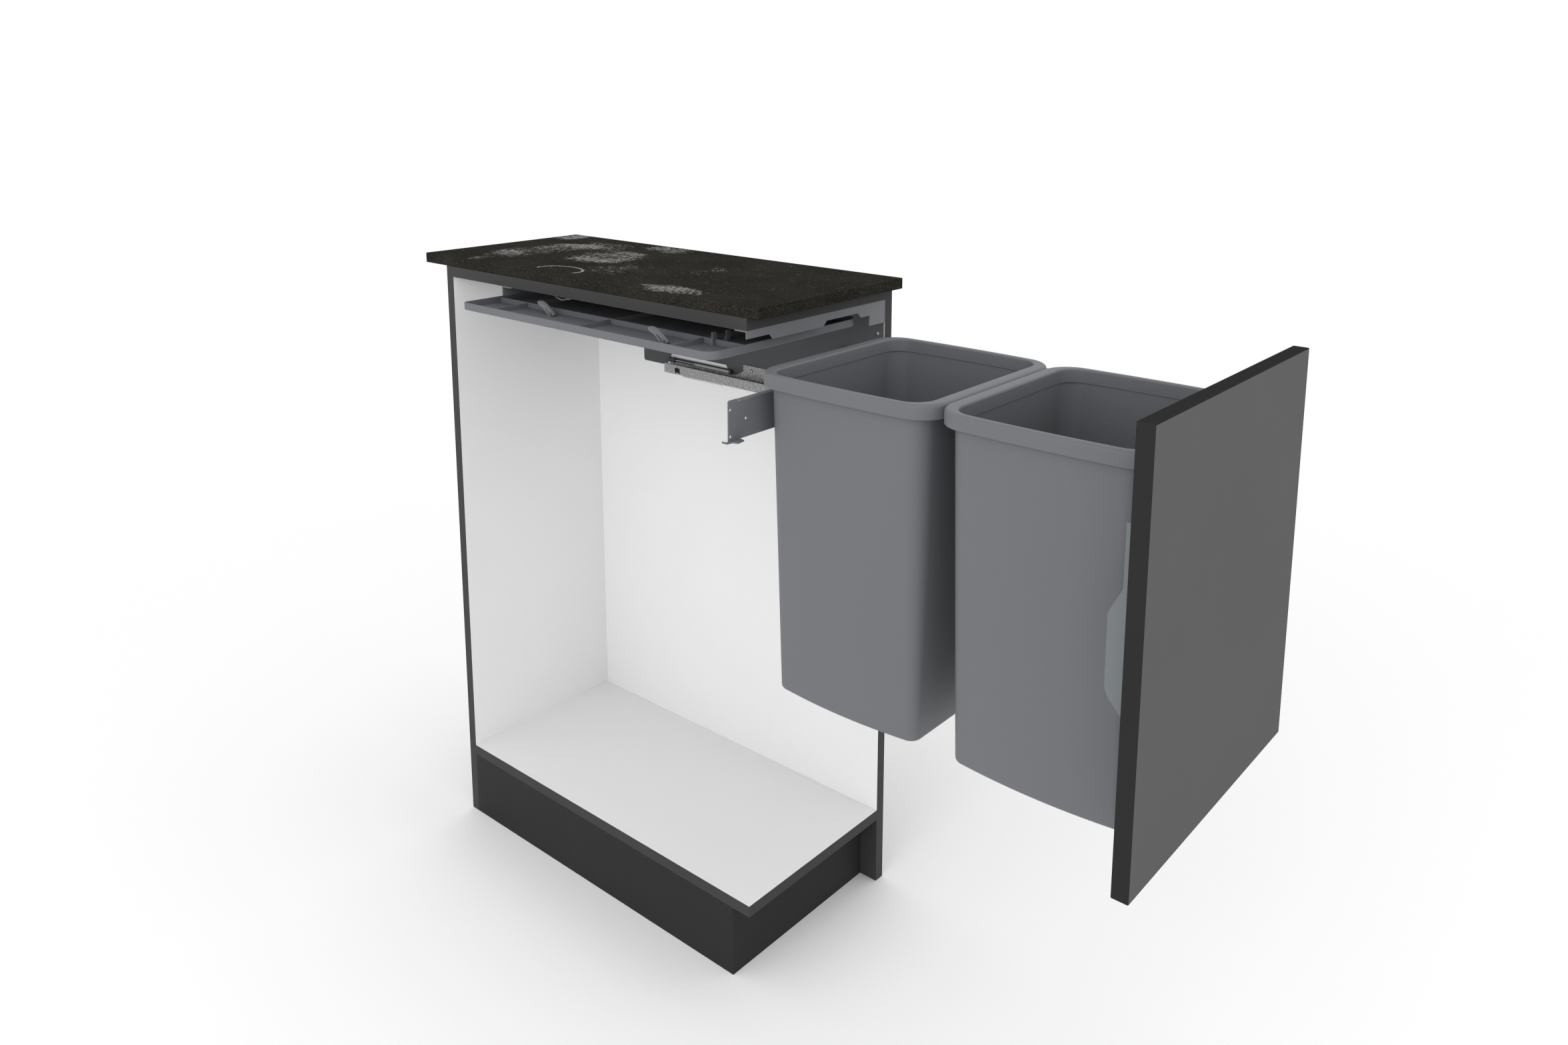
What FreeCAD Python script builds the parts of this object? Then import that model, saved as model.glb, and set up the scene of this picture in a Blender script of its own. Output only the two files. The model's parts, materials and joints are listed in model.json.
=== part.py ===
"""Pull-out trash cabinet, cut open along its left side, with the pull-out drawn fully out.

A base cabinet 400 mm wide carries a sheet-metal frame, a hanging lid and one telescopic runner.
The runner carries a rail, two cross plates, two tall bins and the door front.  Lengths are in
millimetres.  Every piece is drawn in the cabinet's own frame: x = 0 on the centre line, y = 0 on
the front edge of the carcass, z = 0 on the floor.  Each sub-part's Placement then carries it to
the middle of the footprint.
"""
import FreeCAD, Part
import math
import os
import Sketcher

DIMENSIONS = [
    # carcass, worktop and door front
    ("half_width", 200.0), ("cut_side", 98.0), ("board", 16.0),
    ("carcass_depth", 627.0), ("carcass_height", 914.0),
    ("plinth_height", 102.0), ("plinth_setback", 30.0),
    ("worktop_thick", 15.0), ("worktop_front", 18.0), ("worktop_back", 55.0),
    ("edge_ease", 0.8),
    ("door_half_width", 198.0), ("door_thick", 18.0), ("door_height", 459.0), ("door_drop", 2.0),
    ("travel", 548.0), ("door_gap", 2.0),
    # fixed frame of sheet metal under the top panel
    ("sheet_metal", 1.5), ("side_plate", 2.0), ("flange_width", 20.0),
    ("fascia_low", 17.0), ("fascia_high", 10.0), ("fascia_foot", 31.5),
    ("fascia_tab", 49.0), ("notch_slope", 7.0), ("notch_end", 130.0), ("foot_start", 149.0),
    ("frame_rear", 488.0), ("rear_rail_height", 14.6),
    ("plate_rear", 493.0), ("plate_drop", 161.0), ("plate_front_drop", 153.6),
    ("plate_hole", 2.5), ("screw_radius", 1.9),
    # lid that stays in the cabinet
    ("lid_half_width", 145.5), ("lid_front", 15.0), ("lid_length", 505.0),
    ("lid_base", 866.0), ("lid_height", 10.8), ("lid_floor", 2.0), ("lid_wall", 2.4),
    ("lid_corner", 20.0), ("lid_rear_corner", 8.0), ("lid_channel", 79.0), ("lid_rib", 2.0),
    ("lid_rib_height", 7.5),
    ("lever_reach", 25.0), ("lever_rise", 13.0), ("lever_wide", 7.0),
    ("lever_foot_high", 5.0), ("lever_pin", 1.5), ("lug_gap", 0.3), ("pin_play", 0.06),
    ("front_lever_x", 117.0), ("front_lever_y", 124.0),
    ("rear_lever_x", 98.0), ("rear_lever_y", 374.0),
    # telescopic runner
    ("runner_metal", 1.2), ("runner_inner", 168.0), ("runner_base", 729.0), ("runner_low", 15.0),
    ("runner_tall", 35.0), ("runner_start", 26.0), ("runner_length", 404.0),
    ("tall_end", 266.5), ("tall_ramp", 282.0), ("member_length", 400.0), ("member_start", 28.0),
    ("roller", 1.7), ("roller_play", 0.05), ("web_x", 171.4), ("web_height", 15.1),
    ("cage_length", 114.0), ("cage_metal", 0.7), ("roller_pitch", 44.0),
    ("damper_x", 178.3), ("damper_z", 748.8), ("damper_radius", 2.2),
    # pull-out
    ("rail_web", 168.0), ("rail_top", 846.0), ("rail_lip", 135.5), ("rail_base_lip", 178.0),
    ("rail_rear", -42.0), ("cross_half", 174.5), ("cross_low", 785.0), ("cross_high", 834.0),
    ("cross_flange", 8.0), ("cross_ear", 3.0), ("front_cross_half", 164.0),
    ("bracket_x", 166.0), ("bracket_wide", 12.0), ("bracket_neck", 13.5), ("bracket_high", 811.5),
    # bins
    ("bin_half_x", 139.5), ("bin_half_y", 126.0), ("bin_gap", 1.0), ("bin_rear", -43.0),
    ("bin_top", 863.0), ("bin_bottom", 464.0), ("bin_wall", 2.5), ("bin_floor", 4.0),
    ("bin_corner", 22.0), ("bin_taper_x", 14.0), ("bin_taper_y", 10.2), ("bin_bow", 3.5),
    ("bin_floor_round", 4.6), ("rim_height", 17.0), ("rim_inset_x", 7.5), ("rim_inset_y", 13.5),
    ("rim_corner", 42.0), ("top_bow", 1.5), ("rim_round", 2.6), ("rim_step", 0.6),
    ("rim_skin", 2.4), ("rim_crown", 5.0), ("mouth_corner", 28.0),
]

doc = FreeCAD.newDocument("pull_out_trash_cabinet")
sheet = doc.addObject("Spreadsheet::Sheet", "dims")


class Formula:
    """A length from the sheet: its present value, and the same sum as an expression."""

    def __init__(self, value, text):
        self.value = value
        self.text = text

    @staticmethod
    def of(other):
        return other if isinstance(other, Formula) else Formula(float(other), repr(float(other)))

    def joined(self, other, sign, value):
        return Formula(value, "(%s %s %s)" % (self.text, sign, other.text))

    def __add__(self, other):
        other = Formula.of(other)
        return self.joined(other, "+", self.value + other.value)

    def __radd__(self, other):
        return Formula.of(other) + self

    def __sub__(self, other):
        other = Formula.of(other)
        return self.joined(other, "-", self.value - other.value)

    def __rsub__(self, other):
        return Formula.of(other) - self

    def __mul__(self, other):
        other = Formula.of(other)
        return self.joined(other, "*", self.value * other.value)

    __rmul__ = __mul__

    def __truediv__(self, other):
        other = Formula.of(other)
        return self.joined(other, "/", self.value / other.value)

    def __neg__(self):
        return Formula.of(0) - self


class Sizes:
    """The sheet's cells by name, so that d.board is the board's thickness."""


def fill_sheet():
    sizes = Sizes()
    for row, (name, value) in enumerate(DIMENSIONS, start=1):
        sheet.set("A%d" % row, name)
        sheet.set("B%d" % row, repr(value))
        sheet.setAlias("B%d" % row, name)
        setattr(sizes, name, Formula(value, "dims." + name))
    doc.recompute()
    return sizes


d = fill_sheet()

# Places that several sub-parts share.
CUT_X = -d.cut_side
PANEL_X = d.half_width - d.board
BACK_Y = d.carcass_depth - d.board
CEILING = d.carcass_height - d.board
FLOOR_Z = d.plinth_height + d.board
WORKTOP_REAR = d.carcass_depth + d.worktop_back
DOOR_BACK = -d.travel - d.door_gap
DOOR_FRONT = DOOR_BACK - d.door_thick
DOOR_TOP = d.carcass_height - d.door_drop
PLATE_X = PANEL_X - d.side_plate
LID_PIVOT_Z = d.lid_base + d.lever_foot_high
BIN_PITCH = 2 * d.bin_half_y + d.bin_gap
ORIGIN_X = (d.half_width - d.door_half_width) / 2
ORIGIN_Y = (WORKTOP_REAR + DOOR_FRONT) / 2

SUBPARTS = []


def bind(thing, name, formula):
    """Tie one property to the sheet."""
    formula = Formula.of(formula)
    thing.setExpression(name, formula.text)


def keep(thing, label):
    """Name a sub-part and carry it to the middle of the footprint."""
    thing.Label = label
    bind(thing, "Placement.Base.x", -ORIGIN_X)
    bind(thing, "Placement.Base.y", -ORIGIN_Y)
    SUBPARTS.append(thing)
    return thing


def board_piece(label, low, high):
    """A plain board between two corners."""
    piece = doc.addObject("Part::Box", label)
    for name, axis in (("Length", 0), ("Width", 1), ("Height", 2)):
        bind(piece, name, Formula.of(high[axis]) - low[axis])
    piece.Label = label
    bind(piece, "Placement.Base.x", Formula.of(low[0]) - ORIGIN_X)
    bind(piece, "Placement.Base.y", Formula.of(low[1]) - ORIGIN_Y)
    bind(piece, "Placement.Base.z", low[2])
    SUBPARTS.append(piece)
    return piece


def new_body(label):
    return keep(doc.addObject("PartDesign::Body", label), label)


def sketch_on(body, name, plane, offset):
    """A sketch on one of the body's origin planes, moved along the plane's axis."""
    sketch = body.newObject("Sketcher::SketchObject", name)
    roles = {feature.Role: feature for feature in body.Origin.OriginFeatures}
    sketch.AttachmentSupport = [(roles[plane + "_Plane"], "")]
    sketch.MapMode = "FlatFace"
    offset = Formula.of(offset)
    bind(sketch, "AttachmentOffset.Base.z", -offset if plane == "XZ" else offset)
    return sketch


def fix_point(sketch, geometry, end, point):
    """Hold one end of a line or arc at a place worked out from the sheet."""
    for kind, value in zip(("DistanceX", "DistanceY"), point):
        value = Formula.of(value)
        number = sketch.addConstraint(Sketcher.Constraint(kind, -1, 1, geometry, end, value.value))
        sketch.setExpression("Constraints[%d]" % number, value.text)


def flat_point(point):
    return FreeCAD.Vector(Formula.of(point[0]).value, Formula.of(point[1]).value, 0)


def draw_polygon(sketch, points):
    """A closed outline through the points."""
    count = len(points)
    first = sketch.GeometryCount
    for i in range(count):
        start, end = flat_point(points[i]), flat_point(points[(i + 1) % count])
        sketch.addGeometry(Part.LineSegment(start, end), False)
    for i in range(count):
        after = first + (i + 1) % count
        sketch.addConstraint(Sketcher.Constraint("Coincident", first + i, 2, after, 1))
        fix_point(sketch, first + i, 1, points[i])


def add_arc(sketch, centre, radius, start, end):
    circle = Part.Circle(flat_point(centre), FreeCAD.Vector(0, 0, 1), radius.value)
    number = sketch.addGeometry(Part.ArcOfCircle(circle, start, end), False)
    held = sketch.addConstraint(Sketcher.Constraint("Radius", number, radius.value))
    sketch.setExpression("Constraints[%d]" % held, radius.text)
    return number


def add_bowed_side(sketch, start, end, bow):
    """A side along the second axis that swells outward in the middle, as an arc."""
    half = (end[1] - start[1]) / 2
    outward = 1 if half.value > 0 else -1
    radius = (half * half + bow * bow) / (2 * bow)
    centre = (start[0] - outward * (radius - bow), (start[1] + end[1]) / 2)
    turn = math.asin(abs(half.value) / radius.value)
    middle = 0 if outward > 0 else math.pi
    return add_arc(sketch, centre, radius, middle - turn, middle + turn)


def draw_rounded(sketch, low, high, radius, bow=None, rear=None):
    """A rectangle between two corners with round corners, the two at the rear as given.

    The bow swells the two sides that run along the second axis.
    """
    x0, y0 = (Formula.of(v) for v in low)
    x1, y1 = (Formula.of(v) for v in high)
    rear = radius if rear is None else rear
    sides = [((x0 + radius, y0), (x1 - radius, y0)), ((x1, y0 + radius), (x1, y1 - rear)),
             ((x1 - rear, y1), (x0 + rear, y1)), ((x0, y1 - rear), (x0, y0 + radius))]
    corners = [(x1 - radius, y0 + radius, radius), (x1 - rear, y1 - rear, rear),
               (x0 + rear, y1 - rear, rear), (x0 + radius, y0 + radius, radius)]
    first = sketch.GeometryCount
    for i, (start, end) in enumerate(sides):
        if bow is not None and i % 2:
            add_bowed_side(sketch, start, end, bow)
        else:
            sketch.addGeometry(Part.LineSegment(flat_point(start), flat_point(end)), False)
    for i, (x, y, size) in enumerate(corners):
        turn = (i - 1) * math.pi / 2
        add_arc(sketch, (x, y), size, turn, turn + math.pi / 2)
    for i, (start, end) in enumerate(sides):
        fix_point(sketch, first + i, 1, start)
        fix_point(sketch, first + i, 2, end)
        arc, after = first + 4 + i, first + (i + 1) % 4
        sketch.addConstraint(Sketcher.Constraint("Coincident", first + i, 2, arc, 1))
        sketch.addConstraint(Sketcher.Constraint("Coincident", arc, 2, after, 1))


def draw_circles(sketch, centres, radius):
    radius = Formula.of(radius)
    for centre in centres:
        circle = Part.Circle(flat_point(centre), FreeCAD.Vector(0, 0, 1), radius.value)
        number = sketch.addGeometry(circle, False)
        fix_point(sketch, number, 3, centre)
        held = sketch.addConstraint(Sketcher.Constraint("Radius", number, radius.value))
        sketch.setExpression("Constraints[%d]" % held, radius.text)


def pad(body, sketch, plane, length):
    """Grow the sketch towards the plane's positive axis."""
    feature = body.newObject("PartDesign::Pad", "pad")
    feature.Profile = sketch
    bind(feature, "Length", length)
    feature.Reversed = plane == "XZ"
    doc.recompute()
    return feature


def pocket(body, sketch, plane, length):
    """Cut the sketch away towards the plane's positive axis, and prove that it cut."""
    before = body.Shape.Volume
    feature = body.newObject("PartDesign::Pocket", "pocket")
    feature.Profile = sketch
    bind(feature, "Length", length)
    feature.Reversed = plane != "XZ"
    doc.recompute()
    if body.Shape.Volume > before - 0.01:
        raise RuntimeError("a pocket in %s cuts nothing" % body.Label)
    return feature


def add_prism(body, plane, points, start, length):
    sketch = sketch_on(body, "outline", plane, start)
    draw_polygon(sketch, points)
    return pad(body, sketch, plane, length)


def cut_prism(body, plane, points, start, length):
    sketch = sketch_on(body, "cut_outline", plane, start)
    draw_polygon(sketch, points)
    return pocket(body, sketch, plane, length)


def add_block(body, low, high):
    """A straight block between two corners, drawn as seen from above."""
    points = [(low[0], low[1]), (high[0], low[1]), (high[0], high[1]), (low[0], high[1])]
    return add_prism(body, "XY", points, low[2], Formula.of(high[2]) - low[2])


def cut_block(body, low, high):
    points = [(low[0], low[1]), (high[0], low[1]), (high[0], high[1]), (low[0], high[1])]
    return cut_prism(body, "XY", points, low[2], Formula.of(high[2]) - low[2])


def drill(body, plane, centres, radius, start, length):
    sketch = sketch_on(body, "holes", plane, start)
    draw_circles(sketch, centres, radius)
    return pocket(body, sketch, plane, length)


def dress(body, kind, size, wanted):
    """Round or chamfer the edges of the body's present shape that wanted() picks."""
    base = body.Tip
    names = ["Edge%d" % (i + 1) for i, edge in enumerate(base.Shape.Edges) if wanted(edge)]
    if not names:
        raise RuntimeError("no edge to dress in %s" % body.Label)
    feature = body.newObject("PartDesign::" + kind, kind.lower())
    feature.Base = (base, names)
    bind(feature, "Radius" if kind == "Fillet" else "Size", size)
    doc.recompute()
    if feature.Shape.isNull() or not feature.Shape.isValid():
        raise RuntimeError("the %s in %s failed" % (kind, body.Label))
    return feature


def edge_span(edge):
    box = edge.BoundBox
    return box.XLength, box.YLength, box.ZLength


def near(value, target):
    return abs(value - Formula.of(target).value) < 1e-3


# --- carcass ---------------------------------------------------------------------------------

def build_carcass():
    board_piece("top_panel", (CUT_X, 0, CEILING), (PANEL_X, BACK_Y, d.carcass_height))
    board_piece("bottom_panel", (CUT_X, 0, d.plinth_height), (PANEL_X, BACK_Y, FLOOR_Z))
    board_piece("right_side_panel", (PANEL_X, 0, 0), (d.half_width, d.carcass_depth, d.carcass_height))
    board_piece("back_panel", (CUT_X, BACK_Y, 0), (PANEL_X, d.carcass_depth, d.carcass_height))
    plinth_rear = d.plinth_setback + d.board
    board_piece("plinth_front", (CUT_X, d.plinth_setback, 0), (PANEL_X, plinth_rear, d.plinth_height))
    board_piece("plinth_side", (CUT_X, plinth_rear, 0), (CUT_X + d.board, BACK_Y, d.plinth_height))


def eased_slab(label, low, high):
    """A board whose outer edges are lightly chamfered."""
    body = new_body(label)
    add_block(body, low, high)
    dress(body, "Chamfer", d.edge_ease, lambda edge: True)


def build_worktop():
    top = d.carcass_height + d.worktop_thick
    eased_slab("worktop", (CUT_X, -d.worktop_front, d.carcass_height), (d.half_width, WORKTOP_REAR, top))


def build_door():
    low = (-d.door_half_width, DOOR_FRONT, DOOR_TOP - d.door_height)
    eased_slab("door_front", low, (d.door_half_width, DOOR_BACK, DOOR_TOP))


# --- fixed frame under the top panel ------------------------------------------------------------

def build_front_fascia():
    """The folded front strip: long notches leave a centre tab and a deeper foot at the side."""
    body = new_body("frame_front_fascia")
    high, low = CEILING - d.fascia_high, CEILING - d.fascia_low
    foot = CEILING - d.fascia_foot
    tab, slope = d.fascia_tab, d.notch_slope
    points = [(CUT_X, high), (-tab - slope, high), (-tab, low), (tab, low), (tab + slope, high),
              (d.notch_end - slope, high), (d.notch_end, low), (d.foot_start, low),
              (d.foot_start, foot), (PANEL_X, foot), (PANEL_X, CEILING), (CUT_X, CEILING)]
    add_prism(body, "XZ", points, 0, d.sheet_metal)
    fold = [(CUT_X, d.sheet_metal), (PLATE_X, d.sheet_metal), (PLATE_X, d.flange_width),
            (CUT_X, d.flange_width)]
    add_prism(body, "XY", fold, CEILING - d.sheet_metal, d.sheet_metal)
    dress(body, "Fillet", 2.0, lambda e: near(e.CenterOfMass.x, d.foot_start)
          and near(e.CenterOfMass.z, foot) and edge_span(e)[1] > 1.0)


def build_side_plate():
    """The tall plate on the side panel, with the stepped and sloped lower edge."""
    body = new_body("frame_side_plate")
    front_low, rear_low = CEILING - d.plate_front_drop, CEILING - d.plate_drop
    window = rear_low + 20.5
    points = [(d.sheet_metal, CEILING), (d.sheet_metal, front_low), (d.tall_ramp + 1, front_low),
              (d.tall_ramp + 15.5, front_low + 1.6), (d.tall_ramp + 22.5, window), (428, window),
              (440, rear_low), (d.plate_rear, rear_low), (d.plate_rear, CEILING)]
    add_prism(body, "YZ", points, PLATE_X, d.side_plate)
    fold = [(PLATE_X - d.flange_width, d.flange_width + 5), (PLATE_X, d.flange_width + 5),
            (PLATE_X, 460), (PLATE_X - d.flange_width, 460)]
    add_prism(body, "XY", fold, CEILING - d.sheet_metal, d.sheet_metal)
    drill(body, "YZ", plate_hole_places(), d.plate_hole, PLATE_X, d.side_plate)
    dress(body, "Fillet", 4.0, lambda e: near(e.CenterOfMass.y, d.plate_rear)
          and near(e.CenterOfMass.z, rear_low) and edge_span(e)[0] > 1.0)


def plate_hole_places():
    """The plate's screw holes, as depth and height: the front one shows in the opening."""
    return [(11, 849), (240, 850), (470, 800)]


def runner_screw_places():
    return [(y, d.runner_base + d.runner_tall - 8) for y in (46, 150, 250)]


def build_rear_rail():
    """The strip across the frame's rear, folded forward under the top panel."""
    body = new_body("frame_rear_rail")
    face = d.frame_rear - d.sheet_metal
    low = CEILING - d.rear_rail_height
    profile = [(face, low), (d.frame_rear, low), (d.frame_rear, CEILING),
               (face - d.flange_width, CEILING), (face - d.flange_width, CEILING - d.sheet_metal),
               (face, CEILING - d.sheet_metal)]
    add_prism(body, "YZ", profile, CUT_X, PLATE_X - CUT_X)


def group_piece(label, solids):
    """Identical pieces that share one node."""
    feature = doc.addObject("Part::Feature", label)
    feature.Shape = Part.makeCompound(solids)
    return keep(feature, label)


# --- lid --------------------------------------------------------------------------------------

def lid_ribs():
    """Places of the lid's cross ribs, counted from the carcass front."""
    return (91, 270, 452)


def build_lid():
    """A shallow moulded tray with two long ribs, cross ribs, stop tabs and lever lugs."""
    body = new_body("lid_tray")
    half, front, rear = d.lid_half_width, d.lid_front, d.lid_front + d.lid_length
    sketch = sketch_on(body, "outer", "XY", d.lid_base)
    draw_rounded(sketch, (-half, front), (half, rear), d.lid_corner, rear=d.lid_rear_corner)
    pad(body, sketch, "XY", d.lid_height)
    inner = sketch_on(body, "inner", "XY", d.lid_base + d.lid_floor)
    wall = d.lid_wall
    draw_rounded(inner, (-half + wall, front + wall), (half - wall, rear - wall),
                 d.lid_corner - wall, rear=d.lid_rear_corner - wall)
    pocket(body, inner, "XY", d.lid_height)
    deck = d.lid_base + d.lid_floor
    for side in (-1, 1):
        add_block(body, (side * d.lid_channel - d.lid_rib / 2, front + 1, deck),
                  (side * d.lid_channel + d.lid_rib / 2, rear - 1, deck + d.lid_rib_height))
    for y in lid_ribs():
        add_block(body, (-half + 1, y, deck), (half - 1, y + d.lid_rib, deck + d.lid_rib_height - 1))
    for x, y, high in ((-82, 70, 17), (-51, 75, 14.5)):
        add_stop_tab(body, x, y, deck, high)
    for x, y in lever_places():
        add_lever_lugs(body, x, y, deck)
    dress(body, "Chamfer", 1.2, lambda e: near(e.BoundBox.ZMin, d.lid_base)
          and near(e.BoundBox.ZMax, d.lid_base))


def add_stop_tab(body, x, y, deck, high):
    """An upright tab with a sloped web behind it."""
    add_block(body, (x - 3.5, y, deck), (x + 3.5, y + 2, deck + high))
    web = [(y + 2, deck), (y + 10, deck), (y + 2, deck + high * 0.6)]
    add_prism(body, "YZ", web, x - 1, 2)


def lever_places():
    """Middle of each lever's width, and its lower pin: left pair, then right pair."""
    return [(-d.front_lever_x, d.front_lever_y), (-d.rear_lever_x, d.rear_lever_y),
            (d.front_lever_x, d.front_lever_y), (d.rear_lever_x, d.rear_lever_y)]


def add_lever_lugs(body, x, y, deck):
    for side in (-1, 1):
        inner = x + side * (d.lever_wide / 2 + d.lug_gap)
        outer = inner + side * 1.6
        low, high = (inner, outer) if side > 0 else (outer, inner)
        add_prism(body, "YZ", [(y - 3.5, deck), (y + 3.5, deck), (y + 3, LID_PIVOT_Z + 3),
                               (y - 3, LID_PIVOT_Z + 3)], low, high - low)


def build_lever(label, x, y):
    """A hooked lever: two legs rise from the lower pin and meet in a round, spoon-like head."""
    body = new_body(label)
    foot_z, head_y, head_z = LID_PIVOT_Z, y + d.lever_reach, LID_PIVOT_Z + d.lever_rise
    outline = [(y - 2.6, foot_z - 1.6), (y + 1.5, foot_z - 2.6), (y + 12, foot_z + 2.4),
               (head_y - 4, head_z - 5.6), (head_y + 3, head_z - 3.6), (head_y + 5, head_z + 0.6),
               (head_y + 2.5, head_z + 3.4), (head_y - 6, head_z + 3), (y + 9, foot_z + 9),
               (y - 1, foot_z + 2.8)]
    low = x - d.lever_wide / 2
    add_prism(body, "YZ", outline, low, d.lever_wide)
    slit = [(y + 5, foot_z + 2.2), (y + 13.5, foot_z + 6.6), (y + 11.5, foot_z + 8.2),
            (y + 4, foot_z + 4)]
    cut_prism(body, "YZ", slit, low, d.lever_wide)
    drill(body, "YZ", [(y, foot_z), (head_y, head_z)], d.lever_pin + d.pin_play, low, d.lever_wide)


def build_levers():
    for label, (x, y) in zip(("lid_lever_left_front", "lid_lever_left_rear",
                              "lid_lever_right_front", "lid_lever_right_rear"), lever_places()):
        build_lever(label, x, y)
    reach = (d.lever_wide / 2 + d.lug_gap).value
    group_piece("lid_lever_pins", [
        Part.makeCylinder(d.lever_pin.value, 2 * reach,
                          FreeCAD.Vector(Formula.of(x).value - reach, y.value, LID_PIVOT_Z.value),
                          FreeCAD.Vector(1, 0, 0))
        for x, y in lever_places()])


def build_hanger(label, x, y):
    """A strap from the side plate inward, with two lugs that hold a lever's upper pin."""
    body = new_body(label)
    pin_y, pin_z = y + d.lever_reach, LID_PIVOT_Z + d.lever_rise
    under = pin_z + 6.5
    inner = x - d.lever_wide / 2 - 2.2
    add_block(body, (inner, pin_y - 7, under), (PLATE_X, pin_y + 7, under + d.sheet_metal))
    for side in (-1, 1):
        near_side = x + side * (d.lever_wide / 2 + d.lug_gap)
        far_side = near_side + side * d.sheet_metal
        low, high = (near_side, far_side) if side > 0 else (far_side, near_side)
        add_prism(body, "YZ", [(pin_y - 5, under), (pin_y - 3, pin_z - 3.4), (pin_y + 3, pin_z - 3.4),
                               (pin_y + 5, under)], low, high - low)
    add_block(body, (PLATE_X - d.sheet_metal, pin_y - 7, under - 6), (PLATE_X, pin_y + 7, under))


def build_hangers():
    places = lever_places()[2:]
    for label, (x, y) in zip(("lid_hanger_front", "lid_hanger_rear"), places):
        build_hanger(label, x, y)
    reach = (d.lever_wide / 2 + d.lug_gap).value
    group_piece("lid_hanger_pins", [
        Part.makeCylinder(d.lever_pin.value, 2 * reach,
                          FreeCAD.Vector(x.value - reach, (y + d.lever_reach).value,
                                         (LID_PIVOT_Z + d.lever_rise).value),
                          FreeCAD.Vector(1, 0, 0))
        for x, y in places])


def build_lift_lever():
    """The small zinc lever on the side plate that raises the lid, its rivet and its buffer."""
    body = new_body("lid_lift_lever")
    arm = [(60, 814), (66, 813), (82, 806), (87, 806.5), (88, 812), (70, 822), (61, 822)]
    thick = 2.0
    add_prism(body, "YZ", arm, PLATE_X - thick, thick)
    drill(body, "YZ", [(84.5, 809.5)], 2 + d.pin_play, PLATE_X - thick, thick)
    pin_at = FreeCAD.Vector(PLATE_X.value - 5, 84.5, 809.5)
    rivet = Part.makeCylinder(2.0, 5, pin_at, FreeCAD.Vector(1, 0, 0))
    group_piece("lid_lift_rivet", [rivet])
    knob_at = FreeCAD.Vector(PLATE_X.value - 6, 64.7, 818)
    knob = Part.makeCylinder(2.8, 4, knob_at, FreeCAD.Vector(1, 0, 0))
    group_piece("lid_lift_buffer", [knob])


# --- telescopic runner --------------------------------------------------------------------------

CHANNEL_FLOOR = d.runner_base + d.runner_metal
MEMBER_BASE = CHANNEL_FLOOR + 2 * d.roller + 2 * d.roller_play
MEMBER_TOP = MEMBER_BASE + 2 * d.runner_metal + d.web_height
CARRIER_UNDER = MEMBER_TOP + 2 * d.roller + 2 * d.roller_play
CARRIER_TOP = CARRIER_UNDER + d.runner_metal
HALF_TRAVEL = d.travel / 2


def build_cabinet_profile():
    """The fixed channel: a low inner wall, a floor, and an outer wall with the tall screwed flange."""
    body = new_body("runner_cabinet_profile")
    inner, outer, skin = d.runner_inner, PLATE_X, d.runner_metal
    base, low = d.runner_base, d.runner_base + d.runner_low
    section = [(inner, base), (outer, base), (outer, low + 1), (outer - skin, low + 1),
               (outer - skin, base + skin), (inner + skin, base + skin), (inner + skin, low - skin),
               (inner + 2.6, low - skin), (inner + 2.6, low), (inner, low)]
    add_prism(body, "XZ", section, d.runner_start, d.runner_length)
    tall = base + d.runner_tall
    flange = [(d.runner_start, low + 1), (d.tall_ramp, low + 1), (d.tall_ramp, low + 1.6),
              (d.tall_end, tall - 10.5), (d.tall_end, tall), (d.runner_start, tall)]
    add_prism(body, "YZ", flange, outer - skin, skin)
    drill(body, "YZ", runner_screw_places(), d.screw_radius, outer - skin, skin)
    window = [(395.5, base + 3), (404.5, base + 3), (404.5, base + 11), (395.5, base + 11)]
    cut_prism(body, "YZ", window, inner, skin)


def build_middle_profile():
    """The middle member: a wide lower flange, a web and a narrow upper flange."""
    body = new_body("runner_middle_profile")
    skin, web = d.runner_metal, d.web_x
    left, right, narrow = d.runner_inner + 1.8, PLATE_X - 1.8, web + 2.8
    base, top = MEMBER_BASE, MEMBER_TOP
    section = [(left, base), (right, base), (right, base + skin), (web + skin, base + skin),
               (web + skin, top - skin), (narrow, top - skin), (narrow, top), (left, top),
               (left, top - skin), (web, top - skin), (web, base + skin), (left, base + skin)]
    add_prism(body, "XZ", section, d.member_start - HALF_TRAVEL, d.member_length)


def build_drawer_profile():
    """The moving member: a cap that wraps the middle member's upper flange and carries the rail."""
    body = new_body("runner_drawer_profile")
    skin = d.runner_metal
    left = d.runner_inner + 0.2
    right = left + 7.6
    low = CARRIER_UNDER - 8.7
    section = [(left, low), (left + 2.4, low), (left + 2.4, low + skin), (left + skin, low + skin),
               (left + skin, CARRIER_UNDER), (right - skin, CARRIER_UNDER), (right - skin, low + skin),
               (right - 2.4, low + skin), (right - 2.4, low), (right, low), (right, CARRIER_TOP),
               (left, CARRIER_TOP)]
    add_prism(body, "XZ", section, d.member_start - d.travel, d.member_length)


def build_cage(label, low_x, high_x, start, axis_z):
    """A thin strip with a window for each roller."""
    body = new_body(label)
    add_block(body, (low_x, start, axis_z - d.cage_metal / 2),
              (high_x, start + d.cage_length, axis_z + d.cage_metal / 2))
    sketch = sketch_on(body, "windows", "XY", axis_z - d.cage_metal / 2)
    for y in roller_places(start):
        reach = d.roller + 0.25
        draw_polygon(sketch, [(low_x + 0.6, y - reach), (high_x - 0.6, y - reach),
                              (high_x - 0.6, y + reach), (low_x + 0.6, y + reach)])
    pocket(body, sketch, "XY", d.cage_metal)


def roller_places(start):
    return [start + 9 + d.roller_pitch * i for i in range(3)]


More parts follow.
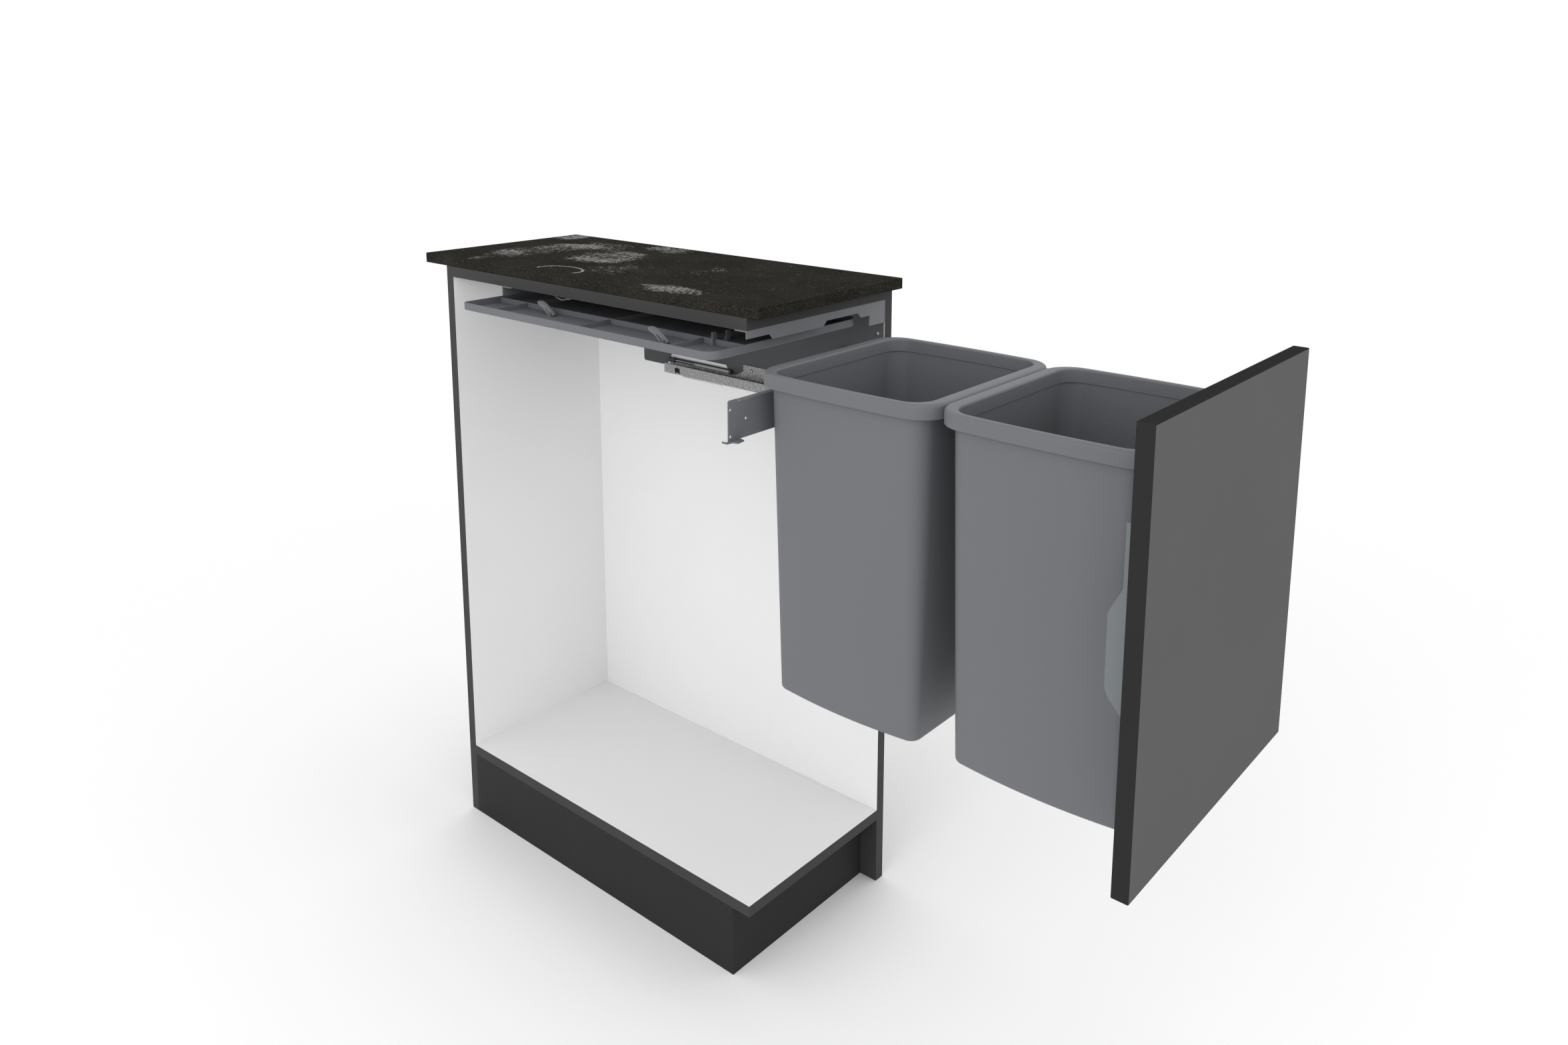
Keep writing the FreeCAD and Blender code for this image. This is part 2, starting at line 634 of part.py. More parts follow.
def build_rollers(label, low_x, high_x, start, axis_z):
    group_piece(label, [
        Part.makeCylinder(d.roller.value, (high_x - low_x).value,
                          FreeCAD.Vector(low_x.value, y.value, axis_z.value), FreeCAD.Vector(1, 0, 0))
        for y in roller_places(start)])


def build_roller_sets():
    lower_z = CHANNEL_FLOOR + d.roller + d.roller_play
    upper_z = MEMBER_TOP + d.roller + d.roller_play
    left = d.runner_inner + 1.9
    lower_start = d.runner_start + 8
    upper_start = lower_start - HALF_TRAVEL
    build_cage("lower_roller_cage", left, PLATE_X - 1.9, lower_start, lower_z)
    build_rollers("lower_rollers", left + 0.8, PLATE_X - 2.7, lower_start, lower_z)
    build_cage("upper_roller_cage", left, left + 4.2, upper_start, upper_z)
    build_rollers("upper_rollers", left + 0.8, left + 3.4, upper_start, upper_z)


def build_damper():
    """The soft-close damper behind the tall flange: cylinder, rod and the strip that holds them."""
    axis_x, axis_z, radius = d.damper_x, d.damper_z, d.damper_radius
    wall_top = d.runner_base + d.runner_low + 1
    body = new_body("damper_bracket")
    add_block(body, (PLATE_X - d.runner_metal, 290, wall_top), (PLATE_X, 430, wall_top + 7))
    add_block(body, (axis_x - 2, 290, wall_top), (PLATE_X - d.runner_metal, 294, wall_top + 7))
    add_block(body, (axis_x - 2, 416, wall_top), (PLATE_X - d.runner_metal, 430, wall_top + 7))
    cylinder = new_body("damper_cylinder")
    sketch = sketch_on(cylinder, "section", "XZ", 294)
    draw_circles(sketch, [(axis_x, axis_z)], radius)
    pad(cylinder, sketch, "XZ", 76)
    dress(cylinder, "Chamfer", 0.5, lambda e: near(e.CenterOfMass.y, 370))
    rod = new_body("damper_rod")
    sketch = sketch_on(rod, "section", "XZ", 370)
    draw_circles(sketch, [(axis_x, axis_z)], 0.9)
    pad(rod, sketch, "XZ", 46)


# --- pull-out -----------------------------------------------------------------------------------

def build_rail():
    """The side rail: an inward lip for the bin rims, a web and an outward foot on the runner."""
    body = new_body("right_rail")
    skin, web, top = d.sheet_metal, d.rail_web, d.rail_top
    foot = CARRIER_TOP
    section = [(d.rail_lip, top), (d.rail_lip, top - skin), (web - skin, top - skin),
               (web - skin, foot), (d.rail_base_lip, foot), (d.rail_base_lip, foot + skin),
               (web, foot + skin), (web, top)]
    front = DOOR_BACK + skin
    clear = DOOR_BACK + d.bracket_neck + 0.5
    add_prism(body, "XZ", section, front, d.rail_rear - front)
    dress(body, "Fillet", 1.4, lambda e: edge_span(e)[1] > 400
          and near(e.CenterOfMass.x, web) and near(e.CenterOfMass.z, top))
    tab_low, tab_high = d.cross_low + 1, d.cross_high - d.cross_ear - skin
    tab_x = web - skin - 20
    cut_block(body, (web - skin, front, foot), (d.rail_base_lip, clear, d.bracket_high + 0.5))
    add_block(body, (tab_x, d.rail_rear - skin, tab_low), (web - skin, d.rail_rear, tab_high))
    add_block(body, (tab_x, front, d.bracket_high + 0.5), (web - skin, front + skin, tab_high))
    cut_block(body, (web - skin - 0.2, d.rail_rear - 14, d.cross_low - skin - 0.2),
              (web + 0.2, d.rail_rear, d.cross_low + 0.2))


def cross_hole_places():
    """Holes near the plate's ends: an outer pair in the open left end, and one further in."""
    return [(-171, 822.5), (-171, 790.5), (-144.5, 807.5), (144.5, 807.5)]


def build_rear_cross_plate():
    """The plate behind the rear bin: raised ears, notches beside them, a rolled top and foot tabs."""
    body = new_body("rear_cross_plate")
    skin, low, high, half = d.sheet_metal, d.cross_low, d.cross_high, d.cross_half
    rear, main, notch, ease = d.rail_rear, d.cross_high - d.cross_ear, d.cross_half - 17.5, 1.5
    points = [(-half, low), (half, low), (half, high - ease), (half - ease, high), (notch + 3, high),
              (notch, main - ease), (notch - 3, main), (-notch + 3, main), (-notch, main - ease),
              (-notch - 3, high), (-half + ease, high), (-half, high - ease)]
    add_prism(body, "XZ", points, rear, skin)
    flange = [(-notch + 4, rear + skin), (notch - 4, rear + skin),
              (notch - 4, rear + d.cross_flange), (-notch + 4, rear + d.cross_flange)]
    add_prism(body, "XY", flange, main - skin, skin)
    for side in (-1, 1):
        tab = [(side * (half - 20), rear + skin), (side * (half + 2), rear + skin),
               (side * (half + 3), rear + 8), (side * (half + 5), rear + 6),
               (side * (half + 5), rear - 2), (side * (half - 3), rear - 3),
               (side * (half - 5), rear - 10), (side * (half - 18), rear - 8),
               (side * (half - 20), rear)]
        add_prism(body, "XY", tab, low - skin, skin)
    drill(body, "XZ", cross_hole_places(), d.screw_radius, rear, skin)
    dress(body, "Fillet", 1.4, lambda e: edge_span(e)[0] > 250 and near(e.CenterOfMass.z, main)
          and near(e.CenterOfMass.y, rear))


def build_front_cross_plate():
    """The plate screwed to the back of the door front."""
    body = new_body("front_cross_plate")
    skin, low, high, half = d.sheet_metal, d.cross_low, d.cross_high, d.front_cross_half
    section = [(DOOR_BACK, low), (DOOR_BACK + skin, low), (DOOR_BACK + skin, high - skin),
               (DOOR_BACK + d.cross_flange, high - skin), (DOOR_BACK + d.cross_flange, high),
               (DOOR_BACK, high)]
    add_prism(body, "YZ", section, -half, 2 * half)


def build_front_bracket(label, side):
    """A paddle-shaped moulded arm down the back of the door front."""
    body = new_body(label)
    depth_neck, depth_belly, high = d.bracket_neck, 27.5, d.bracket_high
    points = [(DOOR_BACK, 611.5), (DOOR_BACK + depth_belly, 642), (DOOR_BACK + depth_belly, 720),
              (DOOR_BACK + depth_neck, 747), (DOOR_BACK + depth_neck, high), (DOOR_BACK, high)]
    start = d.bracket_x if side > 0 else -d.bracket_x - d.bracket_wide
    add_prism(body, "YZ", points, start, d.bracket_wide)
    edges = ((depth_belly, 642, 24.0), (depth_belly, 720, 7.0), (depth_neck, 747, 9.0))
    for depth, z, radius in edges:
        dress(body, "Fillet", radius, lambda e, y=depth, height=z: edge_span(e)[0] > 11
              and near(e.CenterOfMass.y, DOOR_BACK + y) and near(e.CenterOfMass.z, height))
    outside = start if side < 0 else start + d.bracket_wide
    dress(body, "Chamfer", 1.8, lambda e: edge_span(e)[0] < 1e-3 and near(e.CenterOfMass.x, outside)
          and e.BoundBox.YMax > DOOR_BACK.value + 1 and e.BoundBox.ZMax < 811)


# --- bins ---------------------------------------------------------------------------------------

def build_bin(label, middle_y):
    """A tall moulded bin: tapered walls, bowed towards the floor, and a hollow banded rim."""
    body = new_body(label)
    top, bottom, wall, foot = d.bin_top, d.bin_bottom, d.bin_wall, d.bin_floor_round
    half_x, half_y = d.bin_half_x - d.rim_inset_x, d.bin_half_y - d.rim_inset_y

    def draw(sketch, reach_x, reach_y, corner, bow):
        low, high = (-reach_x, middle_y - reach_y), (reach_x, middle_y + reach_y)
        draw_rounded(sketch, low, high, corner, bow)

    def ring(level, reach_x, reach_y, corner, bow):
        sketch = sketch_on(body, "ring", "XY", level)
        draw(sketch, reach_x, reach_y, corner, bow)
        return sketch

    def wall_ring(level, inset, deep, bow):
        """The wall's outline at a level: inset from its outer face, deep is 1 at the floor."""
        reach_x = half_x - deep * d.bin_taper_x - inset
        return ring(level, reach_x, half_y - deep * d.bin_taper_y - inset, d.bin_corner - inset, bow)

    def loft(kind, low, high):
        feature = body.newObject("PartDesign::" + kind, "taper")
        feature.Profile = low
        feature.Sections = [high]
        feature.Ruled = True
        doc.recompute()

    none, slight, full = Formula.of(0), d.top_bow, d.bin_bow
    loft("AdditiveLoft", wall_ring(bottom, foot, 1, full), wall_ring(bottom + foot, none, 1, full))
    loft("AdditiveLoft", wall_ring(bottom + foot, none, 1, full), wall_ring(top, none, 0, slight))
    floor = bottom + d.bin_floor
    loft("SubtractiveLoft", wall_ring(floor, wall, 1, full), wall_ring(top, wall, 0, slight))
    under = top - d.rim_height
    pad(body, ring(under, d.bin_half_x, d.bin_half_y, d.rim_corner, None), "XY", d.rim_height)
    mouth = wall + d.rim_step
    pocket(body, ring(under, half_x - mouth, half_y - mouth, d.mouth_corner, None),
           "XY", d.rim_height)
    skin = d.rim_skin
    groove = ring(under, d.bin_half_x - skin, d.bin_half_y - skin, d.rim_corner - skin, None)
    draw(groove, half_x + slight + 1, half_y + 1, d.bin_corner + 1, None)
    pocket(body, groove, "XY", d.rim_height - d.rim_crown)
    dress(body, "Chamfer", d.rim_round, lambda e: near(e.BoundBox.ZMin, top))


def build_bins():
    first = d.bin_rear - d.bin_half_y
    build_bin("rear_bin", first)
    build_bin("front_bin", first - BIN_PITCH)


# --- the whole cabinet ----------------------------------------------------------------------------

def check_document():
    doc.recompute()
    for thing in doc.Objects:
        if "Invalid" in thing.State or "Error" in thing.State:
            raise RuntimeError("%s is %s" % (thing.Label, thing.State))
    for piece in SUBPARTS:
        if piece.Shape.isNull() or not piece.Shape.isValid():
            raise RuntimeError("%s has no valid shape" % piece.Label)


def write_subparts():
    os.makedirs("parts", exist_ok=True)
    for piece in SUBPARTS:
        piece.Shape.exportStep(os.path.join("parts", piece.Label + ".step"))


def main():
    build_carcass()
    build_worktop()
    build_door()
    build_front_fascia()
    build_side_plate()
    build_rear_rail()
    build_lid()
    build_levers()
    build_hangers()
    build_lift_lever()
    build_cabinet_profile()
    build_middle_profile()
    build_drawer_profile()
    build_roller_sets()
    build_damper()
    build_rail()
    build_rear_cross_plate()
    build_front_cross_plate()
    build_front_bracket("front_bracket_left", -1)
    build_front_bracket("front_bracket_right", 1)
    build_bins()
    check_document()
    write_subparts()
    print("%d sub-parts" % len(SUBPARTS))


main()
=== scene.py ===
"""Pull-out trash cabinet, cut open on its left side, dressed for a studio picture.

The carcass, frame, lid, runner and rail keep the shapes of the packed frame and get their
finishes here.  The bins, the lid's levers, the screws and a few small fittings are modelled
here.  All lengths are in metres.
"""
import json
import math

import bmesh
import bpy
from mathutils import Matrix, Vector


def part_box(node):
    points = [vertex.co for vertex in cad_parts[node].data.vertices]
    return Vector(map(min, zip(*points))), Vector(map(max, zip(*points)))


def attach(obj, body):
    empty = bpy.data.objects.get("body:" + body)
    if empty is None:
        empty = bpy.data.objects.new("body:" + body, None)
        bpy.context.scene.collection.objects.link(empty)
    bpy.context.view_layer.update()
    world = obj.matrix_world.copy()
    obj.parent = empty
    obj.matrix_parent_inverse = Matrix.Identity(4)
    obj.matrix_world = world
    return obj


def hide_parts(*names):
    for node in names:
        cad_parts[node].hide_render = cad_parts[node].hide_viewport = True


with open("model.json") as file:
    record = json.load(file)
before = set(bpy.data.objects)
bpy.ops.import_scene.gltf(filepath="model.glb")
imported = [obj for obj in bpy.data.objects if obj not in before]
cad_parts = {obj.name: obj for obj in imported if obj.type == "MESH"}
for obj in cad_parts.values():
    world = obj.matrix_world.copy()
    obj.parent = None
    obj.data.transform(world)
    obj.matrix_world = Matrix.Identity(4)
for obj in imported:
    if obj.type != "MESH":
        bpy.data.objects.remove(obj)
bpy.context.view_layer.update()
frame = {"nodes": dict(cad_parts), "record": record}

bl_info = {
    "name": "Pull-out Trash Cabinet",
    "version": (1, 0, 0),
    "blender": (4, 5, 0),
    "location": "View3D > Sidebar > Cabinet",
    "description": "Dresses a cut-open base cabinet with a pull-out for waste bins",
    "category": "Object",
}

MM = 0.001


def node_low(name):
    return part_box(name)[0]


def node_high(name):
    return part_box(name)[1]


# Places read from the frame that several pieces share.
INNER_X = node_low("right_side_panel").x
CUT_X = node_low("bottom_panel").x
FRONT_Y = node_low("right_side_panel").y
BACK_Y = node_low("back_panel").y
FLOOR_Z = node_high("bottom_panel").z
TOP_Z = node_high("worktop").z
DOOR_LOW, DOOR_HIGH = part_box("door_front")


# --- settings -------------------------------------------------------------------------------------

def length(text, note, value):
    return bpy.props.FloatProperty(name=text, description=note, default=value, min=0.0,
                                   unit="LENGTH", precision=4)


def colour(text, note, value):
    return bpy.props.FloatVectorProperty(name=text, description=note, subtype="COLOR", size=3,
                                         default=value, min=0.0, max=1.0)


def power(text, note, value):
    return bpy.props.FloatProperty(name=text, description=note, default=value, min=0.0,
                                   unit="POWER")


class CabinetBinSizes(bpy.types.PropertyGroup):
    """Sizes of the two moulded bins"""

    wall: length("Wall", "Thickness of the bin's walls", 1.8 * MM)
    floor: length("Floor", "Thickness of the bin's floor", 4.0 * MM)
    top_corner: length("Upper corner", "Radius of the wall's corners at the rim", 26 * MM)
    foot_corner: length("Lower corner", "Radius of the wall's corners at the floor", 15 * MM)
    taper_x: length("Side taper", "How far each side wall leans in towards the floor", 12.8 * MM)
    taper_y: length("End taper", "How far each end wall leans in towards the floor", 9.1 * MM)
    top_bow: length("Upper bow", "How far the side walls and the rim swell at the top", 2.1 * MM)
    foot_bow: length("Lower bow", "How far the side walls swell at the floor", 5.4 * MM)
    inset_x: length("Side overhang", "How far the rim stands out past the side walls", 6.6 * MM)
    inset_y: length("End overhang", "How far the rim stands out past the end walls", 14.6 * MM)
    rim_height: length("Rim height", "Height of the rim's outer band", 17 * MM)
    rim_corner: length("Rim corner", "Radius of the rim's outer corners", 38 * MM)
    rim_skin: length("Rim skin", "Thickness of the rim's outer band", 2.4 * MM)
    rim_crown: length("Rim crown", "Thickness of the rim's top", 5 * MM)
    rim_round: length("Rim rounding", "Radius along the rim's outer top edge", 4.2 * MM)
    mouth_corner: length("Mouth corner", "Radius of the mouth's corners", 26 * MM)
    lip_round: length("Lip rounding", "Radius along the rim's inner top edge", 2.6 * MM)
    ledge: length("Ledge", "How far the rim stands in past the wall's inner face", 0.8 * MM)
    foot_round: length("Foot rounding", "Radius along the floor's outer edge", 5 * MM)


class CabinetScrewSizes(bpy.types.PropertyGroup):
    """Sizes of the small pan-head screws"""

    head: length("Head radius", "Radius of the screw's head", 3.4 * MM)
    height: length("Head height", "Height of the screw's head", 1.7 * MM)
    reach: length("Recess reach", "Length of each arm of the cross recess", 1.9 * MM)
    depth: length("Recess depth", "Depth of the cross recess", 1.0 * MM)


class CabinetColours(bpy.types.PropertyGroup):
    """Base colours of the cabinet's finishes"""

    white: colour("Inside", "White melamine inside the carcass", (0.82, 0.82, 0.82))
    dark: colour("Edges", "Dark laminate on edges and outside", (0.050, 0.050, 0.051))
    plinth: colour("Plinth", "Darker laminate on the plinth", (0.026, 0.026, 0.026))
    # Painted light: the underside's dark laminate is lifted to a lighter grey to stand in for the
    # light that reaches it.
    under: colour("Underside", "Underside of the top panel", (0.110, 0.110, 0.114))
    door_face: colour("Door face", "Lacquer on the front's face", (0.107, 0.107, 0.107))
    # Painted shade: the door's upright edges and its top and foot are the face's lacquer darkened
    # for the little light they get.
    door_edge_painted_shade: colour("Door edge", "Lacquer on the front's upright edges", (0.0275, 0.0275, 0.028))
    door_top_painted_shade: colour("Door top", "Lacquer on the front's level edges", (0.027, 0.027, 0.027))
    stone: colour("Worktop", "Dark ground of the worktop", (0.019, 0.0185, 0.0165))
    chalk: colour("Worktop patches", "Pale patches on the worktop", (0.42, 0.42, 0.41))
    frame: colour("Sheet metal", "Paint on the folded sheet metal", (0.162, 0.168, 0.178))
    # Painted shade: the frame's paint darkened for the side plate and the rail, which stand in
    # shade inside the frame.
    side: colour("Side plate", "Darker paint on the side plate and the rail", (0.068, 0.071, 0.075))
    zinc: colour("Galvanised", "Galvanised steel of the runner", (0.33, 0.33, 0.33))
    bin: colour("Bins", "Moulded plastic of the bins", (0.138, 0.142, 0.153))
    lid: colour("Lid", "Moulded plastic of the lid", (0.142, 0.146, 0.158))
    lever: colour("Levers", "Paler plastic of the lid's levers", (0.195, 0.200, 0.210))
    shade: colour("Dark metal", "Dark paint on the fittings in the frame", (0.050, 0.051, 0.053))
    bracket: colour("Brackets", "Moulded plastic of the front brackets", (0.16, 0.175, 0.185))
    steel: colour("Steel", "Bright steel of pins, rollers and screws", (0.62, 0.62, 0.61))
    damper: colour("Damper", "Plastic of the soft-close damper", (0.40, 0.40, 0.41))
    # Painted shade: near-black painted on the runner's web where its opening would show the shade
    # behind it.
    gap: colour("Gap", "Dark seen through the runner's opening", (0.004, 0.004, 0.004))
    floor: colour("Studio floor", "Plain floor of the studio", (0.95, 0.95, 0.95))


class CabinetLights(bpy.types.PropertyGroup):
    """Levels of the studio's lamps"""

    sky: bpy.props.FloatProperty(name="Sky", description="Level of the even light from all round",
                                 default=1.0, min=0.0)
    key: power("Key", "Power of the large lamp above the left", 24.0)
    fill: power("Fill", "Power of the lamp in front of the door", 9.0)


# --- materials ------------------------------------------------------------------------------------

class Wire:
    """A shader socket that takes part in Python sums; every other node comes from node()."""

    def __init__(self, tree, socket=None):
        self.tree = tree
        self.socket = socket

    def node(self, kind, settings=None, values=None, out=0):
        """Adds a node: its settings first, then its sockets' values or links."""
        made = self.tree.nodes.new(kind)
        for name, value in (settings or {}).items():
            setattr(made, name, value)
        for name, value in (values or {}).items():
            if isinstance(value, Wire):
                self.tree.links.new(value.socket, made.inputs[name])
            else:
                made.inputs[name].default_value = value
        return Wire(self.tree, made.outputs[out] if made.outputs else None)

    def math(self, operation, *values):
        return self.node("ShaderNodeMath", {"operation": operation}, dict(enumerate(values)))

    def __add__(self, other):
        return self.math("ADD", self, other)

    def __radd__(self, other):
        return self.math("ADD", other, self)

    def __sub__(self, other):
        return self.math("SUBTRACT", self, other)

    def __rsub__(self, other):
        return self.math("SUBTRACT", other, self)

    def __mul__(self, other):
        return self.math("MULTIPLY", self, other)

    def __rmul__(self, other):
        return self.math("MULTIPLY", other, self)

    def __truediv__(self, other):
        return self.math("DIVIDE", self, other)

    def __gt__(self, other):
        return self.math("GREATER_THAN", self, other)

    def __lt__(self, other):
        return self.math("LESS_THAN", self, other)


def rgba(value):
    return (*value[:3], 1.0)


class Finish:
    """A material with its Principled shader, and the wires that the pattern functions need."""

    def __init__(self, name, metallic=0.0, specular=0.4):
        self.material = bpy.data.materials.new(name)
        self.material.use_nodes = True
        self.tree = self.material.node_tree
        self.tree.nodes.clear()
        self.wire = Wire(self.tree)
        self.place = self.wire.node("ShaderNodeTexCoord", out="Object")
        split = self.wire.node("ShaderNodeSeparateXYZ", values={0: self.place})
        outputs = split.socket.node.outputs
        self.x, self.y, self.z = (Wire(self.tree, outputs[i]) for i in range(3))
        values = {"Metallic": metallic, "Specular IOR Level": specular}
        self.shader = self.wire.node("ShaderNodeBsdfPrincipled", values=values)
        self.wire.node("ShaderNodeOutputMaterial", values={"Surface": self.shader})

    def noise(self, scale, detail=3.0, roughness=0.55, stretch=(1, 1, 1)):
        """Noise in the object's own space, scale being in cells to the metre."""
        drawn = self.wire.node("ShaderNodeMapping", values={0: self.place, "Scale": stretch})
        values = {"Vector": drawn, "Scale": scale, "Detail": detail, "Roughness": roughness}
        return self.wire.node("ShaderNodeTexNoise", values=values, out=0)

    def ramp(self, value, low, high, start=0.0, end=1.0):
        """A soft step from start to end as the value goes from low to high."""
        settings = {"interpolation_type": "SMOOTHSTEP", "clamp": True}
        sockets = {0: value, 1: low, 2: high, 3: start, 4: end}
        return self.wire.node("ShaderNodeMapRange", settings, sockets)

    def mix(self, amount, first, second):
        """A colour between two colours or wires."""
        settings = {"data_type": "RGBA", "clamp_factor": True}
        ends = [end if isinstance(end, Wire) else rgba(end) for end in (first, second)]
        return self.wire.node("ShaderNodeMix", settings, {0: amount, 6: ends[0], 7: ends[1]}, out=2)

    def tone(self, base, amount, spread):
        """The base colour, darker and lighter by spread as amount goes from 0 to 1."""
        dark = [channel * (1 - spread) for channel in base[:3]]
        light = [min(1.0, channel * (1 + spread)) for channel in base[:3]]
        return self.mix(amount, dark, light)

    def bump(self, height, strength, distance):
        """Relief for the Normal socket, distance being how deep it is."""
        values = {"Strength": strength, "Distance": distance, "Height": height}
        return self.wire.node("ShaderNodeBump", values=values)

    def wear(self, **sockets):
        """Links or sets the shader's sockets, with a space for each underscore."""
        shader = self.shader.socket.node
        for name, value in sockets.items():
            socket = shader.inputs[name.replace("_", " ")]
            if isinstance(value, Wire):
                self.tree.links.new(value.socket, socket)
            else:
                socket.default_value = value
        return self.material


def shades():
    return bpy.context.scene.cabinet_colours


# A face's own colour reaches this far into its board, and stays this far off the board's edges.
FACE_SKIN = 0.3 * MM
EDGE_GAP = 0.2 * MM


def board_finish(name, other_where=None, other=None, base=None):
    """Melamine board with a fine orange peel: dark, or another colour where the mask says so."""
    tones = shades()
    finish = Finish(name, specular=0.06)
    cloud = finish.noise(9, 4)
    peel = finish.noise(1300, 2)
    dark = finish.tone(base or tones.dark, cloud, 0.10)
    face = dark
    if other_where is not None:
        where = other_where(finish)
        face = finish.mix(where, dark, finish.tone(other or tones.white, cloud, 0.012))
    rough = 0.42 + 0.10 * peel
    return finish.wear(Base_Color=face, Roughness=rough, Normal=finish.bump(peel, 0.10, 0.02 * MM))


def side_inside(finish):
    """The side panel's inner face, above the bottom panel and in front of the back panel."""
    inside = (finish.x < INNER_X + FACE_SKIN) * (finish.z > FLOOR_Z)
    return inside * (finish.y > FRONT_Y + EDGE_GAP) * (finish.y < BACK_Y)


def back_inside(finish):
    """The back panel's front face, above the bottom panel."""
    return (finish.y < BACK_Y + FACE_SKIN) * (finish.z > FLOOR_Z) * (finish.x > CUT_X + EDGE_GAP)


def bottom_inside(finish):
    """The bottom panel's upper face."""
    inside = (finish.z > FLOOR_Z - FACE_SKIN) * (finish.x > CUT_X + EDGE_GAP)
    return inside * (finish.y > FRONT_Y + EDGE_GAP)


def underside(finish):
    """The lower face of the top panel, inside the carcass, where a lighter grey is painted in as
    light.
    """
    return finish.z < node_low("top_panel").z + FACE_SKIN


# Pale patches on the worktop: middle across and along, reach across and along, and strength.
PALE_PATCHES = ((0.170, 0.597, 0.050, 0.036, 0.80), (0.040, 0.518, 0.155, 0.062, 0.66),
                (0.128, 0.462, 0.075, 0.062, 0.50), (-0.086, 0.515, 0.034, 0.026, 0.40),
                (0.052, 0.376, 0.088, 0.078, 0.78), (0.172, 0.366, 0.044, 0.066, 0.66),
                (0.061, 0.172, 0.050, 0.044, 0.40), (-0.074, 0.097, 0.036, 0.078, 0.70),
                (-0.010, 0.275, 0.070, 0.075, 0.36), (-0.070, 0.335, 0.028, 0.045, 0.34))
PATCH_SKIN = 0.5 * MM  # how deep the patches reach below the worktop's upper face
# The grain's colour, as a share of the ground's in each channel.
GRAIN_SHARE = (3.6, 3.3, 2.7)
# The oval whose far half is drawn on the worktop: its middle and reach, and as shares of that reach
# how far its line wanders, where the line begins and ends, and where the drawn half starts.
ARC_MIDDLE = (CUT_X + 30 * MM, BACK_Y - 218 * MM)
ARC_REACH = (27 * MM, 41 * MM)
ARC_WANDER = 0.12
ARC_INNER, ARC_OUTER = (0.99, 1.04), (1.09, 1.14)
ARC_START = -0.30


def worktop_finish():
    """Dark leathered stone laminate: brown grain, speckled pale patches and part of an oval."""
    tones = shades()
    finish = Finish("worktop_stone", specular=0.0)
    grain = finish.noise(620, 3, 0.72)
    fine = finish.noise(1900, 2, 0.6)
    cloud = finish.noise(11, 4)
    speckle = finish.noise(200, 5, 0.85, (0.75, 1.0, 1.0))
    ground = finish.tone(tones.stone, finish.ramp(cloud, 0.35, 0.65), 0.16)
    brown = [channel * share for channel, share in zip(tones.stone, GRAIN_SHARE)]
    grained = finish.mix(finish.ramp(grain * 0.7 + fine * 0.3, 0.50, 0.64), ground, brown)
    top = finish.z > TOP_Z - PATCH_SKIN
    pale = blot(finish, *PALE_PATCHES[0])
    for patch in PALE_PATCHES[1:]:
        pale = pale + blot(finish, *patch)
    drift = finish.noise(24, 4, 0.65, (1.0, 0.55, 1.0))
    cover = finish.ramp(pale + (drift - 0.5) * 1.5, 0.05, 0.95) * finish.ramp(pale, 0.0, 0.18)
    dust = finish.ramp(speckle + cover * 0.19, 0.60, 0.72)
    line = stone_arc(finish) * finish.ramp(speckle, 0.40, 0.54)
    chalk = dust.math("MAXIMUM", dust * 0.56, line) * top
    rough = 0.62 + 0.16 * fine
    leather = grain * 0.65 + fine * 0.35
    return finish.wear(Base_Color=finish.mix(chalk, grained, tones.chalk), Roughness=rough,
                       Normal=finish.bump(leather, 0.5, 0.14 * MM))


def blot(finish, x, y, reach_x, reach_y, strength):
    """A soft oval patch, strongest in its middle."""
    across = (finish.x - x) / reach_x
    along = (finish.y - y) / reach_y
    return finish.ramp(across * across + along * along, 0.0, 1.0, strength, 0.0)


def stone_arc(finish):
    """A thin pale line round the far half of an oval, near the cut edge."""
    wander = finish.noise(60, 3)
    across = (finish.x - ARC_MIDDLE[0]) / ARC_REACH[0]
    along = (finish.y - ARC_MIDDLE[1]) / ARC_REACH[1]
    radius = across.math("SQRT", across * across + along * along) + wander * ARC_WANDER
    ring = finish.ramp(radius, *ARC_INNER) * finish.ramp(radius, *ARC_OUTER, 1.0, 0.0)
    return ring * (across > ARC_START)


DOOR_SKIN = 0.9 * MM  # how far the edges' tones reach round onto the door's face


def door_finish():
    """Matt lacquer: a grey face, with painted shade making the upright edges darker and the top and
    foot dark.
    """
    tones = shades()
    finish = Finish("door_lacquer", specular=0.0)
    peel = finish.noise(900, 2)
    cloud = finish.noise(6, 4)
    upright = finish.x < DOOR_LOW.x + DOOR_SKIN
    upright = upright.math("MAXIMUM", upright, finish.x > DOOR_HIGH.x - DOOR_SKIN)
    level = finish.z > DOOR_HIGH.z - DOOR_SKIN
    level = level.math("MAXIMUM", level, finish.z < DOOR_LOW.z + DOOR_SKIN)
    # The edges' darker colours are painted shade on the one lacquer.
    face = finish.mix(upright, finish.tone(tones.door_face, cloud, 0.05),
                      finish.tone(tones.door_edge_painted_shade, cloud, 0.05))
    face = finish.mix(level, face, tones.door_top_painted_shade)
    rough = 0.40 + 0.12 * peel
    return finish.wear(Base_Color=face, Roughness=rough, Normal=finish.bump(peel, 0.12, 0.03 * MM))


def paint_finish(name, base):
    """Fine powder coat on folded sheet metal."""
    finish = Finish(name, specular=0.25)
    grit = finish.noise(1500, 2, 0.6)
    cloud = finish.noise(18, 4)
    face = finish.tone(base, cloud, 0.06)
    return finish.wear(Base_Color=face, Roughness=0.42 + 0.14 * grit,
                       Normal=finish.bump(grit, 0.22, 0.05 * MM))


